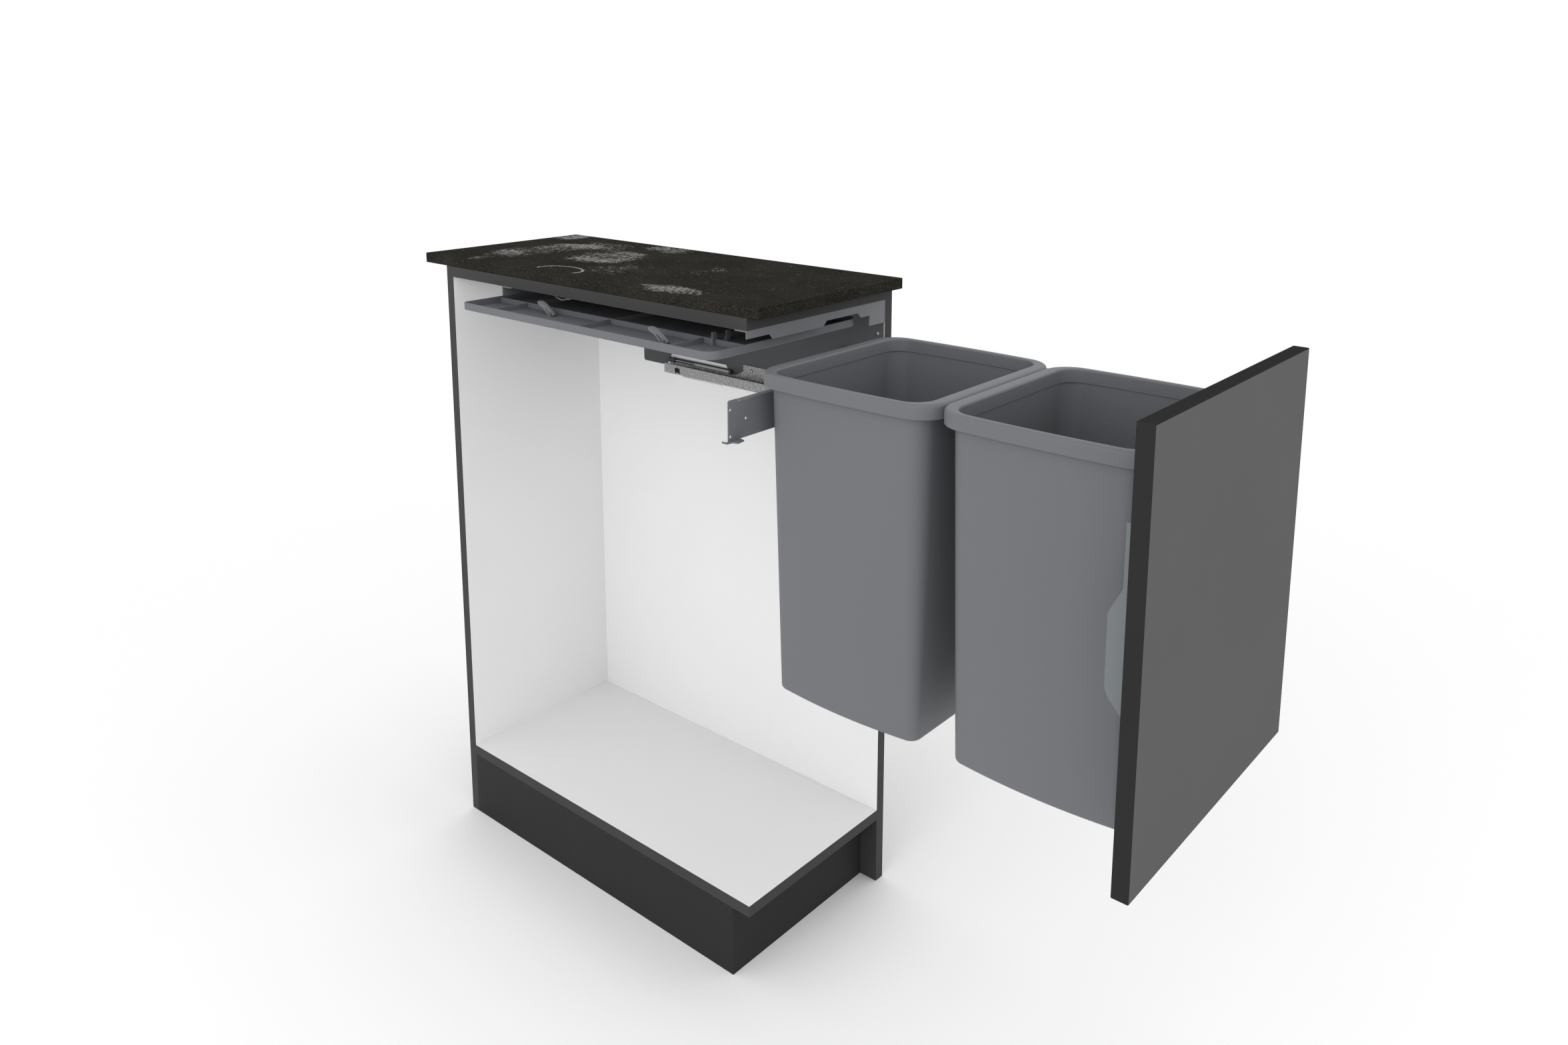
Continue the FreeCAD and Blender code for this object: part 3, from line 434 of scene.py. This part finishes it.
def zinc_finish(name, hole_shade_mask=None):
    """Galvanised steel with a fine speckle; where a mask is given, the opening in the web is
    painted near-black as its shade.
    """
    finish = Finish(name, metallic=0.2, specular=0.3)
    speckle = finish.noise(760, 3, 0.85)
    grain = finish.noise(330, 2)
    face = finish.tone(shades().zinc, finish.ramp(speckle * 0.8 + grain * 0.2, 0.41, 0.59), 0.60)
    if hole_shade_mask is not None:
        face = finish.mix(hole_shade_mask(finish), face, shades().gap)
    return finish.wear(Base_Color=face, Roughness=0.5 + 0.2 * speckle,
                       Normal=finish.bump(speckle, 0.16, 0.03 * MM))


# The opening in the runner's web, painted dark as shade, and the tongue in it: how far ahead of the
# rear end they begin and end, and how far above the lower edge.
WINDOW_AHEAD = (24.6 * MM, 35.5 * MM)
WINDOW_RISE = (1.4 * MM, 10.2 * MM)
TONGUE_AHEAD = (27.0 * MM, 33.0 * MM)
TONGUE_TOP = 7.6 * MM
WEB_REACH = 2 * MM


def between(value, low, high):
    return (value > low) * (value < high)


def runner_hole_shade(finish):
    """The square opening near the runner's rear end, painted dark as shade, with a tongue of the
    web bent back in it.
    """
    low, high = node_low("runner_cabinet_profile"), node_high("runner_cabinet_profile")
    hole = between(finish.y, high.y - WINDOW_AHEAD[1], high.y - WINDOW_AHEAD[0])
    hole = hole * between(finish.z, low.z + WINDOW_RISE[0], low.z + WINDOW_RISE[1])
    tongue = between(finish.y, high.y - TONGUE_AHEAD[1], high.y - TONGUE_AHEAD[0])
    tongue = tongue * (finish.z < low.z + TONGUE_TOP)
    return hole * (1 - tongue) * (finish.x < low.x + WEB_REACH)


def plastic_finish(name, base, rough):
    """Moulded plastic with an eroded-mould grain and faint flow clouds."""
    finish = Finish(name, specular=0.22)
    erode = finish.noise(1700, 3, 0.6)
    flow = finish.noise(7, 4, 0.5, (1.0, 1.0, 0.45))
    face = finish.tone(base, flow, 0.035)
    return finish.wear(Base_Color=face, Roughness=rough + 0.12 * erode - 0.05 * flow,
                       Normal=finish.bump(erode, 0.16, 0.04 * MM))


def steel_finish(name, shine=1.0):
    """Turned bright steel with faint rings of tool marks."""
    finish = Finish(name, metallic=1.0)
    scratch = finish.noise(2400, 2, 0.6, (0.15, 1.0, 1.0))
    base = [channel * shine for channel in shades().steel]
    return finish.wear(Base_Color=finish.tone(base, scratch, 0.10),
                       Roughness=0.26 + 0.16 * scratch,
                       Normal=finish.bump(scratch, 0.10, 0.02 * MM))


def dress(node, material):
    """Puts a material on a carried-over node of the frame."""
    slots = frame["nodes"][node].data.materials
    slots.clear()
    slots.append(material)


# --- modelling helpers ----------------------------------------------------------------------------

def start_piece(name, add, **settings):
    """Adds one primitive with nothing else selected, and names it."""
    if bpy.context.object and bpy.context.object.mode != "OBJECT":
        bpy.ops.object.mode_set(mode="OBJECT")
    bpy.ops.object.select_all(action="DESELECT")
    add(**settings)
    piece = bpy.context.object
    piece.name = name
    piece.data.name = name
    return piece


def end_piece(piece, body, material, angle=40):
    """Shades the piece smooth up to an angle in degrees, and gives it its body and finish."""
    if piece.mode != "OBJECT":
        bpy.ops.object.mode_set(mode="OBJECT")
    bpy.ops.object.select_all(action="DESELECT")
    piece.select_set(True)
    bpy.context.view_layer.objects.active = piece
    bpy.ops.object.transform_apply(location=True, rotation=True, scale=True)
    bpy.ops.object.shade_smooth_by_angle(angle=math.radians(angle))
    piece.data.materials.clear()
    piece.data.materials.append(material)
    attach(piece, body)


def ring_piece(name, rings):
    """A closed piece drawn ring by ring: each is extruded from the last and set to its points."""
    count = len(rings[0])
    piece = start_piece(name, bpy.ops.mesh.primitive_circle_add, vertices=count,
                        fill_type="NOTHING")
    bpy.ops.object.mode_set(mode="EDIT")
    bpy.ops.mesh.select_mode(type="EDGE")
    for number, points in enumerate(rings):
        if number:
            bpy.ops.mesh.extrude_edges_move()
        mesh = bmesh.from_edit_mesh(piece.data)
        mesh.verts.ensure_lookup_table()
        for i, point in enumerate(points):
            mesh.verts[number * count + i].co = point
        bmesh.update_edit_mesh(piece.data)
    bpy.ops.mesh.edge_face_add()
    close_first_ring(piece, count)
    bpy.ops.mesh.select_all(action="SELECT")
    bpy.ops.mesh.normals_make_consistent(inside=False)
    bpy.ops.object.mode_set(mode="OBJECT")
    return piece


def close_first_ring(piece, count):
    """Fills the outline that the piece started from."""
    bpy.ops.mesh.select_all(action="DESELECT")
    mesh = bmesh.from_edit_mesh(piece.data)
    mesh.verts.ensure_lookup_table()
    first = {mesh.verts[i] for i in range(count)}
    for edge in mesh.edges:
        edge.select = set(edge.verts) <= first
    bmesh.update_edit_mesh(piece.data)
    bpy.ops.mesh.edge_face_add()


def plate_piece(name, points, low_x, thick):
    """A plate that stands across the first axis, from its outline as (y, z) points."""
    rings = [[Vector((x, y, z)) for y, z in points] for x in (low_x, low_x + thick)]
    return ring_piece(name, rings)


SHARP_ANGLE = math.radians(28)
EASE_STEPS = 2


def ease_edges(piece, width):
    """Rounds every sharp edge of a piece."""
    bpy.context.view_layer.objects.active = piece
    ease = piece.modifiers.new("ease", "BEVEL")
    ease.width = width
    ease.segments = EASE_STEPS
    ease.limit_method = "ANGLE"
    ease.angle_limit = SHARP_ANGLE
    bpy.ops.object.modifier_apply(modifier="ease")


# --- bins -----------------------------------------------------------------------------------------

# Steps of a bin's outline and of its section.
CORNER_STEPS = 10
SIDE_STEPS = 12
ROUND_STEPS = 6
LIP_STEPS = 5
WALL_STEPS = 12
BAND_EASE = 0.5 * MM  # chamfer along the lower edges of the rim
LEAST_CORNER = 1 * MM


def quarter_turn(steps):
    """Angles from 0 to a quarter turn."""
    return [math.pi / 2 * i / steps for i in range(steps + 1)]


def outline(reach_x, reach_y, corner, bow, middle):
    """A round-cornered rectangle's points; bow swells the two sides along the second axis."""
    points = []
    for turn in range(4):
        centre_x = (reach_x - corner) * (1, -1, -1, 1)[turn]
        centre_y = (reach_y - corner) * (1, 1, -1, -1)[turn]
        for step in quarter_turn(CORNER_STEPS):
            angle = step + turn * math.pi / 2
            points.append(Vector((centre_x + corner * math.cos(angle),
                                  centre_y + corner * math.sin(angle))))
        points.extend(side_points(reach_x, reach_y, corner, bow, turn))
    return [point + middle for point in points]


def side_points(reach_x, reach_y, corner, bow, turn):
    """The points of one straight or swelling side, without its ends."""
    points = []
    for i in range(1, SIDE_STEPS):
        along = 1 - 2 * i / SIDE_STEPS
        if turn in (0, 2):
            point = Vector(((reach_x - corner) * along, reach_y))
        else:
            point = Vector((-reach_x - bow * (1 - along * along), (reach_y - corner) * along))
        points.append(point if turn < 2 else -point)
    return points


def bin_levels(sizes, low, high):
    """The bin's section from the middle of its underside, round the rim and down to its floor.

    Each entry is (height, reach_x, reach_y, corner, bow) of one closed outline.
    """
    half_x, half_y = (high.x - low.x) / 2 - sizes.top_bow, (high.y - low.y) / 2
    wall_x, wall_y = half_x - sizes.inset_x, half_y - sizes.inset_y
    top, bottom = high.z, low.z
    under = top - sizes.rim_height

    def wall_at(height, inset):
        deep = (top - height) / (top - bottom)
        corner = sizes.top_corner + (sizes.foot_corner - sizes.top_corner) * deep
        bow = sizes.top_bow + (sizes.foot_bow - sizes.top_bow) * deep
        reach_x = wall_x - deep * sizes.taper_x - inset
        reach_y = wall_y - deep * sizes.taper_y - inset
        return height, reach_x, reach_y, max(corner - inset, LEAST_CORNER), bow

    def rim_at(height, inset):
        return height, half_x - inset, half_y - inset, sizes.rim_corner - inset, sizes.top_bow

    def rounding(radius, steps):
        """A quarter round's steps, as their distances from the two faces that it joins."""
        return [(radius * (1 - math.sin(angle)), radius * (1 - math.cos(angle)))
                for angle in quarter_turn(steps)]

    foot = sizes.foot_round
    straight = under - bottom - foot
    underside_round = [wall_at(bottom + up, inward) for up, inward in rounding(foot, ROUND_STEPS)]
    outer_wall = [wall_at(bottom + foot + straight * i / WALL_STEPS, 0.0)
                  for i in range(1, WALL_STEPS + 1)]
    crown = top - sizes.rim_crown
    band = [wall_at(crown, 0.0),
            rim_at(crown, sizes.rim_skin),
            rim_at(under + BAND_EASE, sizes.rim_skin),
            rim_at(under, sizes.rim_skin - BAND_EASE),
            rim_at(under, BAND_EASE),
            rim_at(under + BAND_EASE, 0.0)]
    band += [rim_at(top - down, inward) for down, inward in rounding(sizes.rim_round, ROUND_STEPS)]
    inner_x, inner_y = wall_at(under, sizes.wall)[1:3]
    mouth_x, mouth_y, corner = inner_x - sizes.ledge, inner_y - sizes.ledge, sizes.mouth_corner
    mouth = [(top - down, mouth_x + out, mouth_y + out, corner + out, sizes.top_bow)
             for out, down in rounding(sizes.lip_round, LIP_STEPS)]
    mouth += [(under + BAND_EASE, mouth_x, mouth_y, corner, sizes.top_bow),
              (under, mouth_x + BAND_EASE, mouth_y + BAND_EASE, corner, sizes.top_bow)]
    inner_wall = [wall_at(under - straight * i / WALL_STEPS, sizes.wall) for i in range(WALL_STEPS)]
    floor_round = [wall_at(bottom + sizes.floor + up, sizes.wall + inward)
                   for up, inward in rounding(foot, ROUND_STEPS)]
    return underside_round[::-1] + outer_wall + band + mouth + inner_wall + floor_round


def model_bin(name, node):
    """One bin, drawn from the middle of its underside over the rim to its floor."""
    low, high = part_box(node)
    middle = Vector(((low.x + high.x) / 2, (low.y + high.y) / 2))
    rings = []
    for height, *shape in bin_levels(bpy.context.scene.cabinet_bin, low, high):
        points = outline(*shape, middle)
        rings.append([Vector((point.x, point.y, height)) for point in points])
    return ring_piece(name, rings)


class CABINET_OT_bins(bpy.types.Operator):
    """Model the two moulded bins and put them in the place of the plain ones"""

    bl_idname = "cabinet.bins"
    bl_label = "Bins"

    def execute(self, context):
        material = plastic_finish("bin_plastic", shades().bin, rough=0.44)
        for name, node in (("bin_rear_moulded", "rear_bin"), ("bin_front_moulded", "front_bin")):
            piece = model_bin(name, node)
            end_piece(piece, "pull_out", material, angle=32)
            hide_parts(node)
        return {"FINISHED"}


# --- levers, screws and small fittings ------------------------------------------------------------

# One lever's outline, from its lower pin as (along, up) in millimetres: head, outer leg, inner leg.
LEVER_OUTLINE = ((29.0, 14.4), (27.2, 15.9), (22.5, 16.3), (17.0, 15.2), (12.5, 13.2), (9.5, 11.2),
                 (2.0, 6.2), (-5.2, 1.0), (-5.9, -0.6), (-4.8, -2.0), (-2.6, -2.2), (3.4, 2.6),
                 (9.6, 7.4), (13.4, 8.9), (11.4, 5.9), (4.6, -0.9), (4.6, -2.0), (6.6, -2.1),
                 (12.9, 3.7), (17.5, 7.4), (23.0, 9.0), (27.8, 12.0))
LEVERS = ("lid_lever_left_front", "lid_lever_left_rear", "lid_lever_right_front",
          "lid_lever_right_rear")
LEVER_PIN = 2.6 * MM    # from the plain lever's front end to its lower pin
LEVER_INSET = 1.2 * MM  # from the plain lever's side to the moulded one's
LEVER_THICK = 4.6 * MM
LEVER_RIM = 0.9 * MM    # width of the rim left round each hollow
LEVER_HOLLOW = 0.8 * MM
LEVER_EASE = 0.45 * MM
BROAD_FACE = 0.9        # least first part of a broad face's normal


class CABINET_OT_levers(bpy.types.Operator):
    """Model the lid's four levers, each with a leaf-shaped head on two legs"""

    bl_idname = "cabinet.levers"
    bl_label = "Lid levers"

    def execute(self, context):
        material = plastic_finish("lever_plastic", shades().lever, rough=0.42)
        height = (node_low("lid_lever_pins").z + node_high("lid_lever_pins").z) / 2
        for node in LEVERS:
            low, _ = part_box(node)
            along = low.y + LEVER_PIN
            points = [(along + y * MM, height + z * MM) for y, z in LEVER_OUTLINE]
            piece = plate_piece(node + "_moulded", points, low.x + LEVER_INSET, LEVER_THICK)
            hollow_sides(piece)
            ease_edges(piece, LEVER_EASE)
            end_piece(piece, node.replace("lid_", ""), material, angle=35)
            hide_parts(node)
        return {"FINISHED"}


def hollow_sides(piece):
    """Sinks the two broad faces of a plate a little, inside a narrow rim."""
    bpy.context.view_layer.objects.active = piece
    bpy.ops.object.mode_set(mode="EDIT")
    bpy.ops.mesh.select_mode(type="FACE")
    bpy.ops.mesh.select_all(action="DESELECT")
    mesh = bmesh.from_edit_mesh(piece.data)
    for face in mesh.faces:
        face.select = abs(face.normal.x) > BROAD_FACE
    bmesh.update_edit_mesh(piece.data)
    bpy.ops.mesh.inset(thickness=LEVER_RIM, depth=-LEVER_HOLLOW, use_individual=True)
    bpy.ops.object.mode_set(mode="OBJECT")


# Screws by the body they ride on, as (x, y, z) of the head's seat and the way it faces.
SCREWS = {
    "cabinet": (((0.181, 0.183, 0.850), (-1, 0, 0)), ((0.181, 0.413, 0.800), (-1, 0, 0)),
                ((0.1798, -0.011, 0.756), (-1, 0, 0)), ((0.1798, 0.093, 0.756), (-1, 0, 0)),
                ((0.1798, 0.193, 0.756), (-1, 0, 0))),
    "pull_out": (((0.159, -0.0975, 0.8205), (0, 1, 0)), ((0.159, -0.0975, 0.800), (0, 1, 0)),
                 ((-0.141, -0.6055, 0.798), (0, 1, 0)), ((-0.141, -0.6055, 0.822), (0, 1, 0)),
                 ((-0.001, -0.6055, 0.810), (0, 1, 0)), ((0.119, -0.6055, 0.822), (0, 1, 0)),
                 ((0.119, -0.6055, 0.798), (0, 1, 0))),
}
CIRCLE = 24                   # points round a screw
HEAD_STEPS = 5                # steps of the head's rounding
SEAT_SHARE = 0.97             # of the head's radius, where it meets its seat
SKIRT_SHARE = 0.15            # of the head's height, upright above its seat
FLAT_SHARE = 0.68             # of the head's radius, where its rounding ends
FOOT_SHARE = 0.62             # of the recess's size, at its foot
ARM_ANGLE = math.radians(15)  # half of the angle that one arm of the recess spans
SCREW_TURN = 0.7              # from each screw's recess to the next one's, in radians


def screw_levels(sizes):
    """A pan head from its seat to the foot of its cross recess: (height, radii round it)."""
    head, height, reach = sizes.head, sizes.height, sizes.reach
    arm, tip = reach * math.tan(ARM_ANGLE), reach / math.cos(ARM_ANGLE)
    cross = [reach, tip, 2 * arm, math.sqrt(2) * arm, 2 * arm, tip] * 4
    levels = [(0.0, [head * SEAT_SHARE] * CIRCLE), (height * SKIRT_SHARE, [head] * CIRCLE)]
    for angle in quarter_turn(HEAD_STEPS)[1:]:
        radius = head * (FLAT_SHARE + (1 - FLAT_SHARE) * math.cos(angle))
        rise = height * (SKIRT_SHARE + (1 - SKIRT_SHARE) * math.sin(angle))
        levels.append((rise, [radius] * CIRCLE))
    levels.append((height, cross))
    levels.append((height - sizes.depth, [radius * FOOT_SHARE for radius in cross]))
    return levels


def model_screw(name, seat, facing, turn):
    """One pan-head screw on its seat, its recess turned by an angle."""
    axis = Vector(facing)
    side = axis.orthogonal().normalized()
    other = axis.cross(side)
    rings = []
    for height, radii in screw_levels(bpy.context.scene.cabinet_screw):
        ring = []
        for i, radius in enumerate(radii):
            angle = 2 * math.pi * i / CIRCLE + turn
            ring.append(Vector(seat) + axis * height
                        + (side * math.cos(angle) + other * math.sin(angle)) * radius)
        rings.append(ring)
    return ring_piece(name, rings)


class CABINET_OT_screws(bpy.types.Operator):
    """Model the pan-head screws of the frame, the runner and the two cross plates"""

    bl_idname = "cabinet.screws"
    bl_label = "Screws"

    def execute(self, context):
        material = steel_finish("screw_steel", shine=0.62)
        for body, places in SCREWS.items():
            for number, (seat, facing) in enumerate(places, 1):
                name = "screw_%s_%d" % (body, number)
                piece = model_screw(name, seat, facing, SCREW_TURN * number)
                end_piece(piece, body, material, angle=30)
        return {"FINISHED"}


# The lip under the runner: (behind the runner's rear end, above its lower edge) in millimetres.
LIP_OUTLINE = ((-42.4, 0.4), (-42.4, -1.2), (-43.4, -2.0), (-130.0, -2.0), (-131.5, -0.6),
               (-131.5, 0.4))
LIP_THICK = 1.2 * MM
LIP_EASE = 0.3 * MM
# The bent wire under the top panel, near the rear lever on the cut side.
CLIP_LINE = ((-0.090, 0.320, 0.8985), (-0.090, 0.3195, 0.8955), (-0.091, 0.316, 0.8942),
             (-0.093, 0.309, 0.8937), (-0.0935, 0.303, 0.8925), (-0.0925, 0.298, 0.8925),
             (-0.092, 0.293, 0.8942), (-0.092, 0.284, 0.8952), (-0.0915, 0.2825, 0.8965),
             (-0.0915, 0.2825, 0.8985))
CLIP_RADIUS = 0.9 * MM
WIRE_SIDES = 10


class CABINET_OT_fittings(bpy.types.Operator):
    """Model the runner's lower lip and the bent spring clip under the top panel"""

    bl_idname = "cabinet.fittings"
    bl_label = "Small fittings"

    def execute(self, context):
        low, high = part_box("runner_cabinet_profile")
        points = [(high.y + y * MM, low.z + z * MM) for y, z in LIP_OUTLINE]
        lip = plate_piece("runner_lower_lip", points, low.x, LIP_THICK)
        ease_edges(lip, LIP_EASE)
        end_piece(lip, "cabinet", bpy.data.materials["galvanised"])
        clip = sweep_piece("lid_spring_clip", CLIP_LINE, CLIP_RADIUS)
        end_piece(clip, "cabinet", bpy.data.materials["lever_plastic"])
        return {"FINISHED"}


def sweep_piece(name, line, radius):
    """A round wire along a line of points."""
    points = [Vector(point) for point in line]
    rings = []
    for i, point in enumerate(points):
        ahead = (points[min(i + 1, len(points) - 1)] - points[max(i - 1, 0)]).normalized()
        side = ahead.cross(Vector((1, 0, 0))).normalized()
        other = ahead.cross(side)
        rings.append([point + (side * math.cos(angle) + other * math.sin(angle)) * radius
                      for angle in (2 * math.pi * k / WIRE_SIDES for k in range(WIRE_SIDES))])
    return ring_piece(name, rings)


# --- finishes of the carried-over pieces ----------------------------------------------------------

class CABINET_OT_carcass(bpy.types.Operator):
    """Give the boards, the plinth, the worktop and the door front their finishes"""

    bl_idname = "cabinet.carcass"
    bl_label = "Carcass"

    def execute(self, context):
        dress("right_side_panel", board_finish("side_board", side_inside))
        dress("back_panel", board_finish("back_board", back_inside))
        dress("bottom_panel", board_finish("bottom_board", bottom_inside))
        # The top panel's underside gets a lighter grey as painted light.
        dress("top_panel", board_finish("top_board_painted_light", underside, shades().under))
        plinth = board_finish("plinth_board", base=shades().plinth)
        for node in ("plinth_front", "plinth_side"):
            dress(node, plinth)
        dress("worktop", worktop_finish())
        dress("door_front", door_finish())
        return {"FINISHED"}


class CABINET_OT_metalwork(bpy.types.Operator):
    """Give the frame, the runner, the rail and the small metal pieces their finishes"""

    bl_idname = "cabinet.metalwork"
    bl_label = "Metalwork"

    def execute(self, context):
        tones = shades()
        finishes = {
            "frame": paint_finish("frame_paint", tones.frame),
            "galvanised": zinc_finish("galvanised"),
            "screw": steel_finish("bright_steel"),
            "lid": plastic_finish("lid_plastic", tones.lid, rough=0.48),
            "bracket": plastic_finish("bracket_plastic", tones.bracket, rough=0.45),
            "damper": plastic_finish("damper_plastic", tones.damper, rough=0.32),
        }
        for part in frame["record"]["subparts"]:
            if part["material_slot"] in finishes:
                dress(part["node"], finishes[part["material_slot"]])
        # The runner's opening is painted near-black as shade.
        dress("runner_cabinet_profile", zinc_finish("galvanised_hole_shade", runner_hole_shade))
        shade = paint_finish("dark_paint", tones.shade)
        for node in ("lid_lift_lever", "damper_bracket", "lid_hanger_front", "lid_hanger_rear"):
            dress(node, shade)
        # The side plate and the rail get the frame's paint darkened as painted shade.
        side = paint_finish("side_paint_painted_shade", tones.side)
        for node in ("frame_side_plate", "right_rail"):
            dress(node, side)
        return {"FINISHED"}


# --- stage ----------------------------------------------------------------------------------------

# The camera fitted to the photograph, with two thirds of its frame shift, so that the other views
# keep the whole cabinet.  Focal length and the point straight ahead are in the photograph's pixels,
# the place is in metres, and the angles are in degrees.
PICTURE_WIDTH, PICTURE_HEIGHT = 2352, 1568
SENSOR = 36.0  # millimetres
VIEW_FOCUS = 1816.662
VIEW_CENTRE = (1218.16, 445.86)
VIEW_PLACE = (-1.151132, -1.036384, 1.202003)
VIEW_YAW, VIEW_PITCH, VIEW_ROLL = 50.208, -10.317, 0.300
VIEW_CLIP = (0.05, 60.0)

FLOOR_SIZE = 24.0
# From the middle of the floor to where it begins to fade and to where it is white.
FADE_START, FADE_END = 0.9, 2.6
# Each lamp's place, the point it faces and its width.
KEY_LAMP = ((-2.9, -0.7, 1.9), (0.0, 0.0, 0.5), 2.0)
FILL_LAMP = ((0.2, -3.0, 1.6), (0.0, -0.3, 0.6), 1.8)


def add_camera():
    """The photograph's own viewpoint, looking a little down, its frame shifted down as well."""
    data = bpy.data.cameras.new("view")
    camera = bpy.data.objects.new("view", data)
    bpy.context.scene.collection.objects.link(camera)
    data.sensor_fit = "HORIZONTAL"
    data.sensor_width = SENSOR
    data.lens = SENSOR * VIEW_FOCUS / PICTURE_WIDTH
    data.shift_x = (PICTURE_WIDTH / 2 - VIEW_CENTRE[0]) / PICTURE_WIDTH
    data.shift_y = (VIEW_CENTRE[1] - PICTURE_HEIGHT / 2) / PICTURE_WIDTH
    data.clip_start, data.clip_end = VIEW_CLIP
    yaw, pitch, roll = (math.radians(v) for v in (VIEW_YAW, VIEW_PITCH, VIEW_ROLL))
    level = math.cos(pitch)
    ahead = Vector((math.sin(yaw) * level, math.cos(yaw) * level, math.sin(pitch)))
    right = Vector((math.cos(yaw), -math.sin(yaw), 0))
    up = right.cross(ahead)
    side = right * math.cos(roll) + up * math.sin(roll)
    above = up * math.cos(roll) - right * math.sin(roll)
    turn = Matrix((side, above, -ahead)).transposed().to_4x4()
    camera.matrix_world = Matrix.Translation(Vector(VIEW_PLACE)) @ turn
    bpy.context.scene.camera = camera


def add_lamp(name, place, aim, size, energy):
    """A soft round lamp that faces a point."""
    data = bpy.data.lights.new(name, "AREA")
    data.shape = "DISK"
    data.size = size
    data.energy = energy
    lamp = bpy.data.objects.new(name, data)
    bpy.context.scene.collection.objects.link(lamp)
    lamp.location = place
    lamp.rotation_euler = (Vector(aim) - Vector(place)).to_track_quat("-Z", "Y").to_euler()


def build_world(level):
    """Even light from all round, seen as white by the camera and in gloss."""
    world = bpy.data.worlds.new("studio")
    world.use_nodes = True
    world.node_tree.nodes.clear()
    wire = Wire(world.node_tree)
    path = wire.node("ShaderNodeLightPath").socket.node.outputs
    camera, glossy = (Wire(world.node_tree, path[n]) for n in ("Is Camera Ray", "Is Glossy Ray"))
    seen = wire.math("MAXIMUM", camera, glossy)
    strength = level + seen * (1.0 - level)
    sky = wire.node("ShaderNodeBackground", values={"Color": (1, 1, 1, 1), "Strength": strength})
    wire.node("ShaderNodeOutputWorld", values={"Surface": sky})
    bpy.context.scene.world = world


def floor_finish(tone):
    """A pale floor that keeps the shadow near the cabinet and fades to white far from it."""
    finish = Finish("studio_floor")
    across, along = finish.x * finish.x, finish.y * finish.y
    far = finish.wire.math("SQRT", across + along)
    path = finish.wire.node("ShaderNodeLightPath").socket.node.outputs
    seen = finish.wire.math("MAXIMUM", Wire(finish.tree, path["Is Camera Ray"]),
                            Wire(finish.tree, path["Is Glossy Ray"]))
    fade = finish.ramp(far, FADE_START, FADE_END) * seen
    glow = finish.wire.node("ShaderNodeEmission", values={"Color": (1, 1, 1, 1), "Strength": 1.0})
    material = finish.wear(Base_Color=rgba(tone), Roughness=0.75, Specular_IOR_Level=0.1)
    both = finish.wire.node("ShaderNodeMixShader", values={0: fade, 1: finish.shader, 2: glow})
    output = next(n for n in finish.tree.nodes if n.type == "OUTPUT_MATERIAL")
    finish.tree.links.new(both.socket, output.inputs["Surface"])
    return material


class CABINET_OT_stage(bpy.types.Operator):
    """Add the floor, the soft lamps, the sky and the camera"""

    bl_idname = "cabinet.stage"
    bl_label = "Stage"

    def execute(self, context):
        lights = context.scene.cabinet_lights
        floor = start_piece("studio_floor", bpy.ops.mesh.primitive_plane_add, size=FLOOR_SIZE)
        floor.data.materials.append(floor_finish(shades().floor))
        build_world(lights.sky)
        add_lamp("key", *KEY_LAMP, lights.key)
        add_lamp("fill", *FILL_LAMP, lights.fill)
        add_camera()
        context.scene.view_settings.view_transform = "Standard"
        return {"FINISHED"}


# --- panel and registration -----------------------------------------------------------------------

OPERATORS = (CABINET_OT_carcass, CABINET_OT_metalwork, CABINET_OT_bins, CABINET_OT_levers,
             CABINET_OT_screws, CABINET_OT_fittings, CABINET_OT_stage)
SETTINGS = {"cabinet_bin": CabinetBinSizes, "cabinet_screw": CabinetScrewSizes,
            "cabinet_colours": CabinetColours, "cabinet_lights": CabinetLights}


class CABINET_PT_pieces(bpy.types.Panel):
    """Lists the cabinet's pieces and their settings"""

    bl_idname = "CABINET_PT_pieces"
    bl_label = "Pull-out Trash Cabinet"
    bl_space_type = "VIEW_3D"
    bl_region_type = "UI"
    bl_category = "Cabinet"

    def draw(self, context):
        for operator in OPERATORS:
            self.layout.operator(operator.bl_idname)
        for name, group in SETTINGS.items():
            box = self.layout.box()
            box.label(text=group.__doc__)
            for setting in group.__annotations__:
                box.prop(getattr(context.scene, name), setting)


def register():
    for group in SETTINGS.values():
        bpy.utils.register_class(group)
    for operator in OPERATORS:
        bpy.utils.register_class(operator)
    bpy.utils.register_class(CABINET_PT_pieces)
    for name, group in SETTINGS.items():
        setattr(bpy.types.Scene, name, bpy.props.PointerProperty(type=group))


def unregister():
    for name in SETTINGS:
        delattr(bpy.types.Scene, name)
    bpy.utils.unregister_class(CABINET_PT_pieces)
    for operator in reversed(OPERATORS):
        bpy.utils.unregister_class(operator)
    for group in reversed(list(SETTINGS.values())):
        bpy.utils.unregister_class(group)


def main():
    register()
    bpy.ops.cabinet.carcass()
    bpy.ops.cabinet.metalwork()
    bpy.ops.cabinet.bins()
    bpy.ops.cabinet.levers()
    bpy.ops.cabinet.screws()
    bpy.ops.cabinet.fittings()
    bpy.ops.cabinet.stage()


if __name__ == "__main__":
    main()
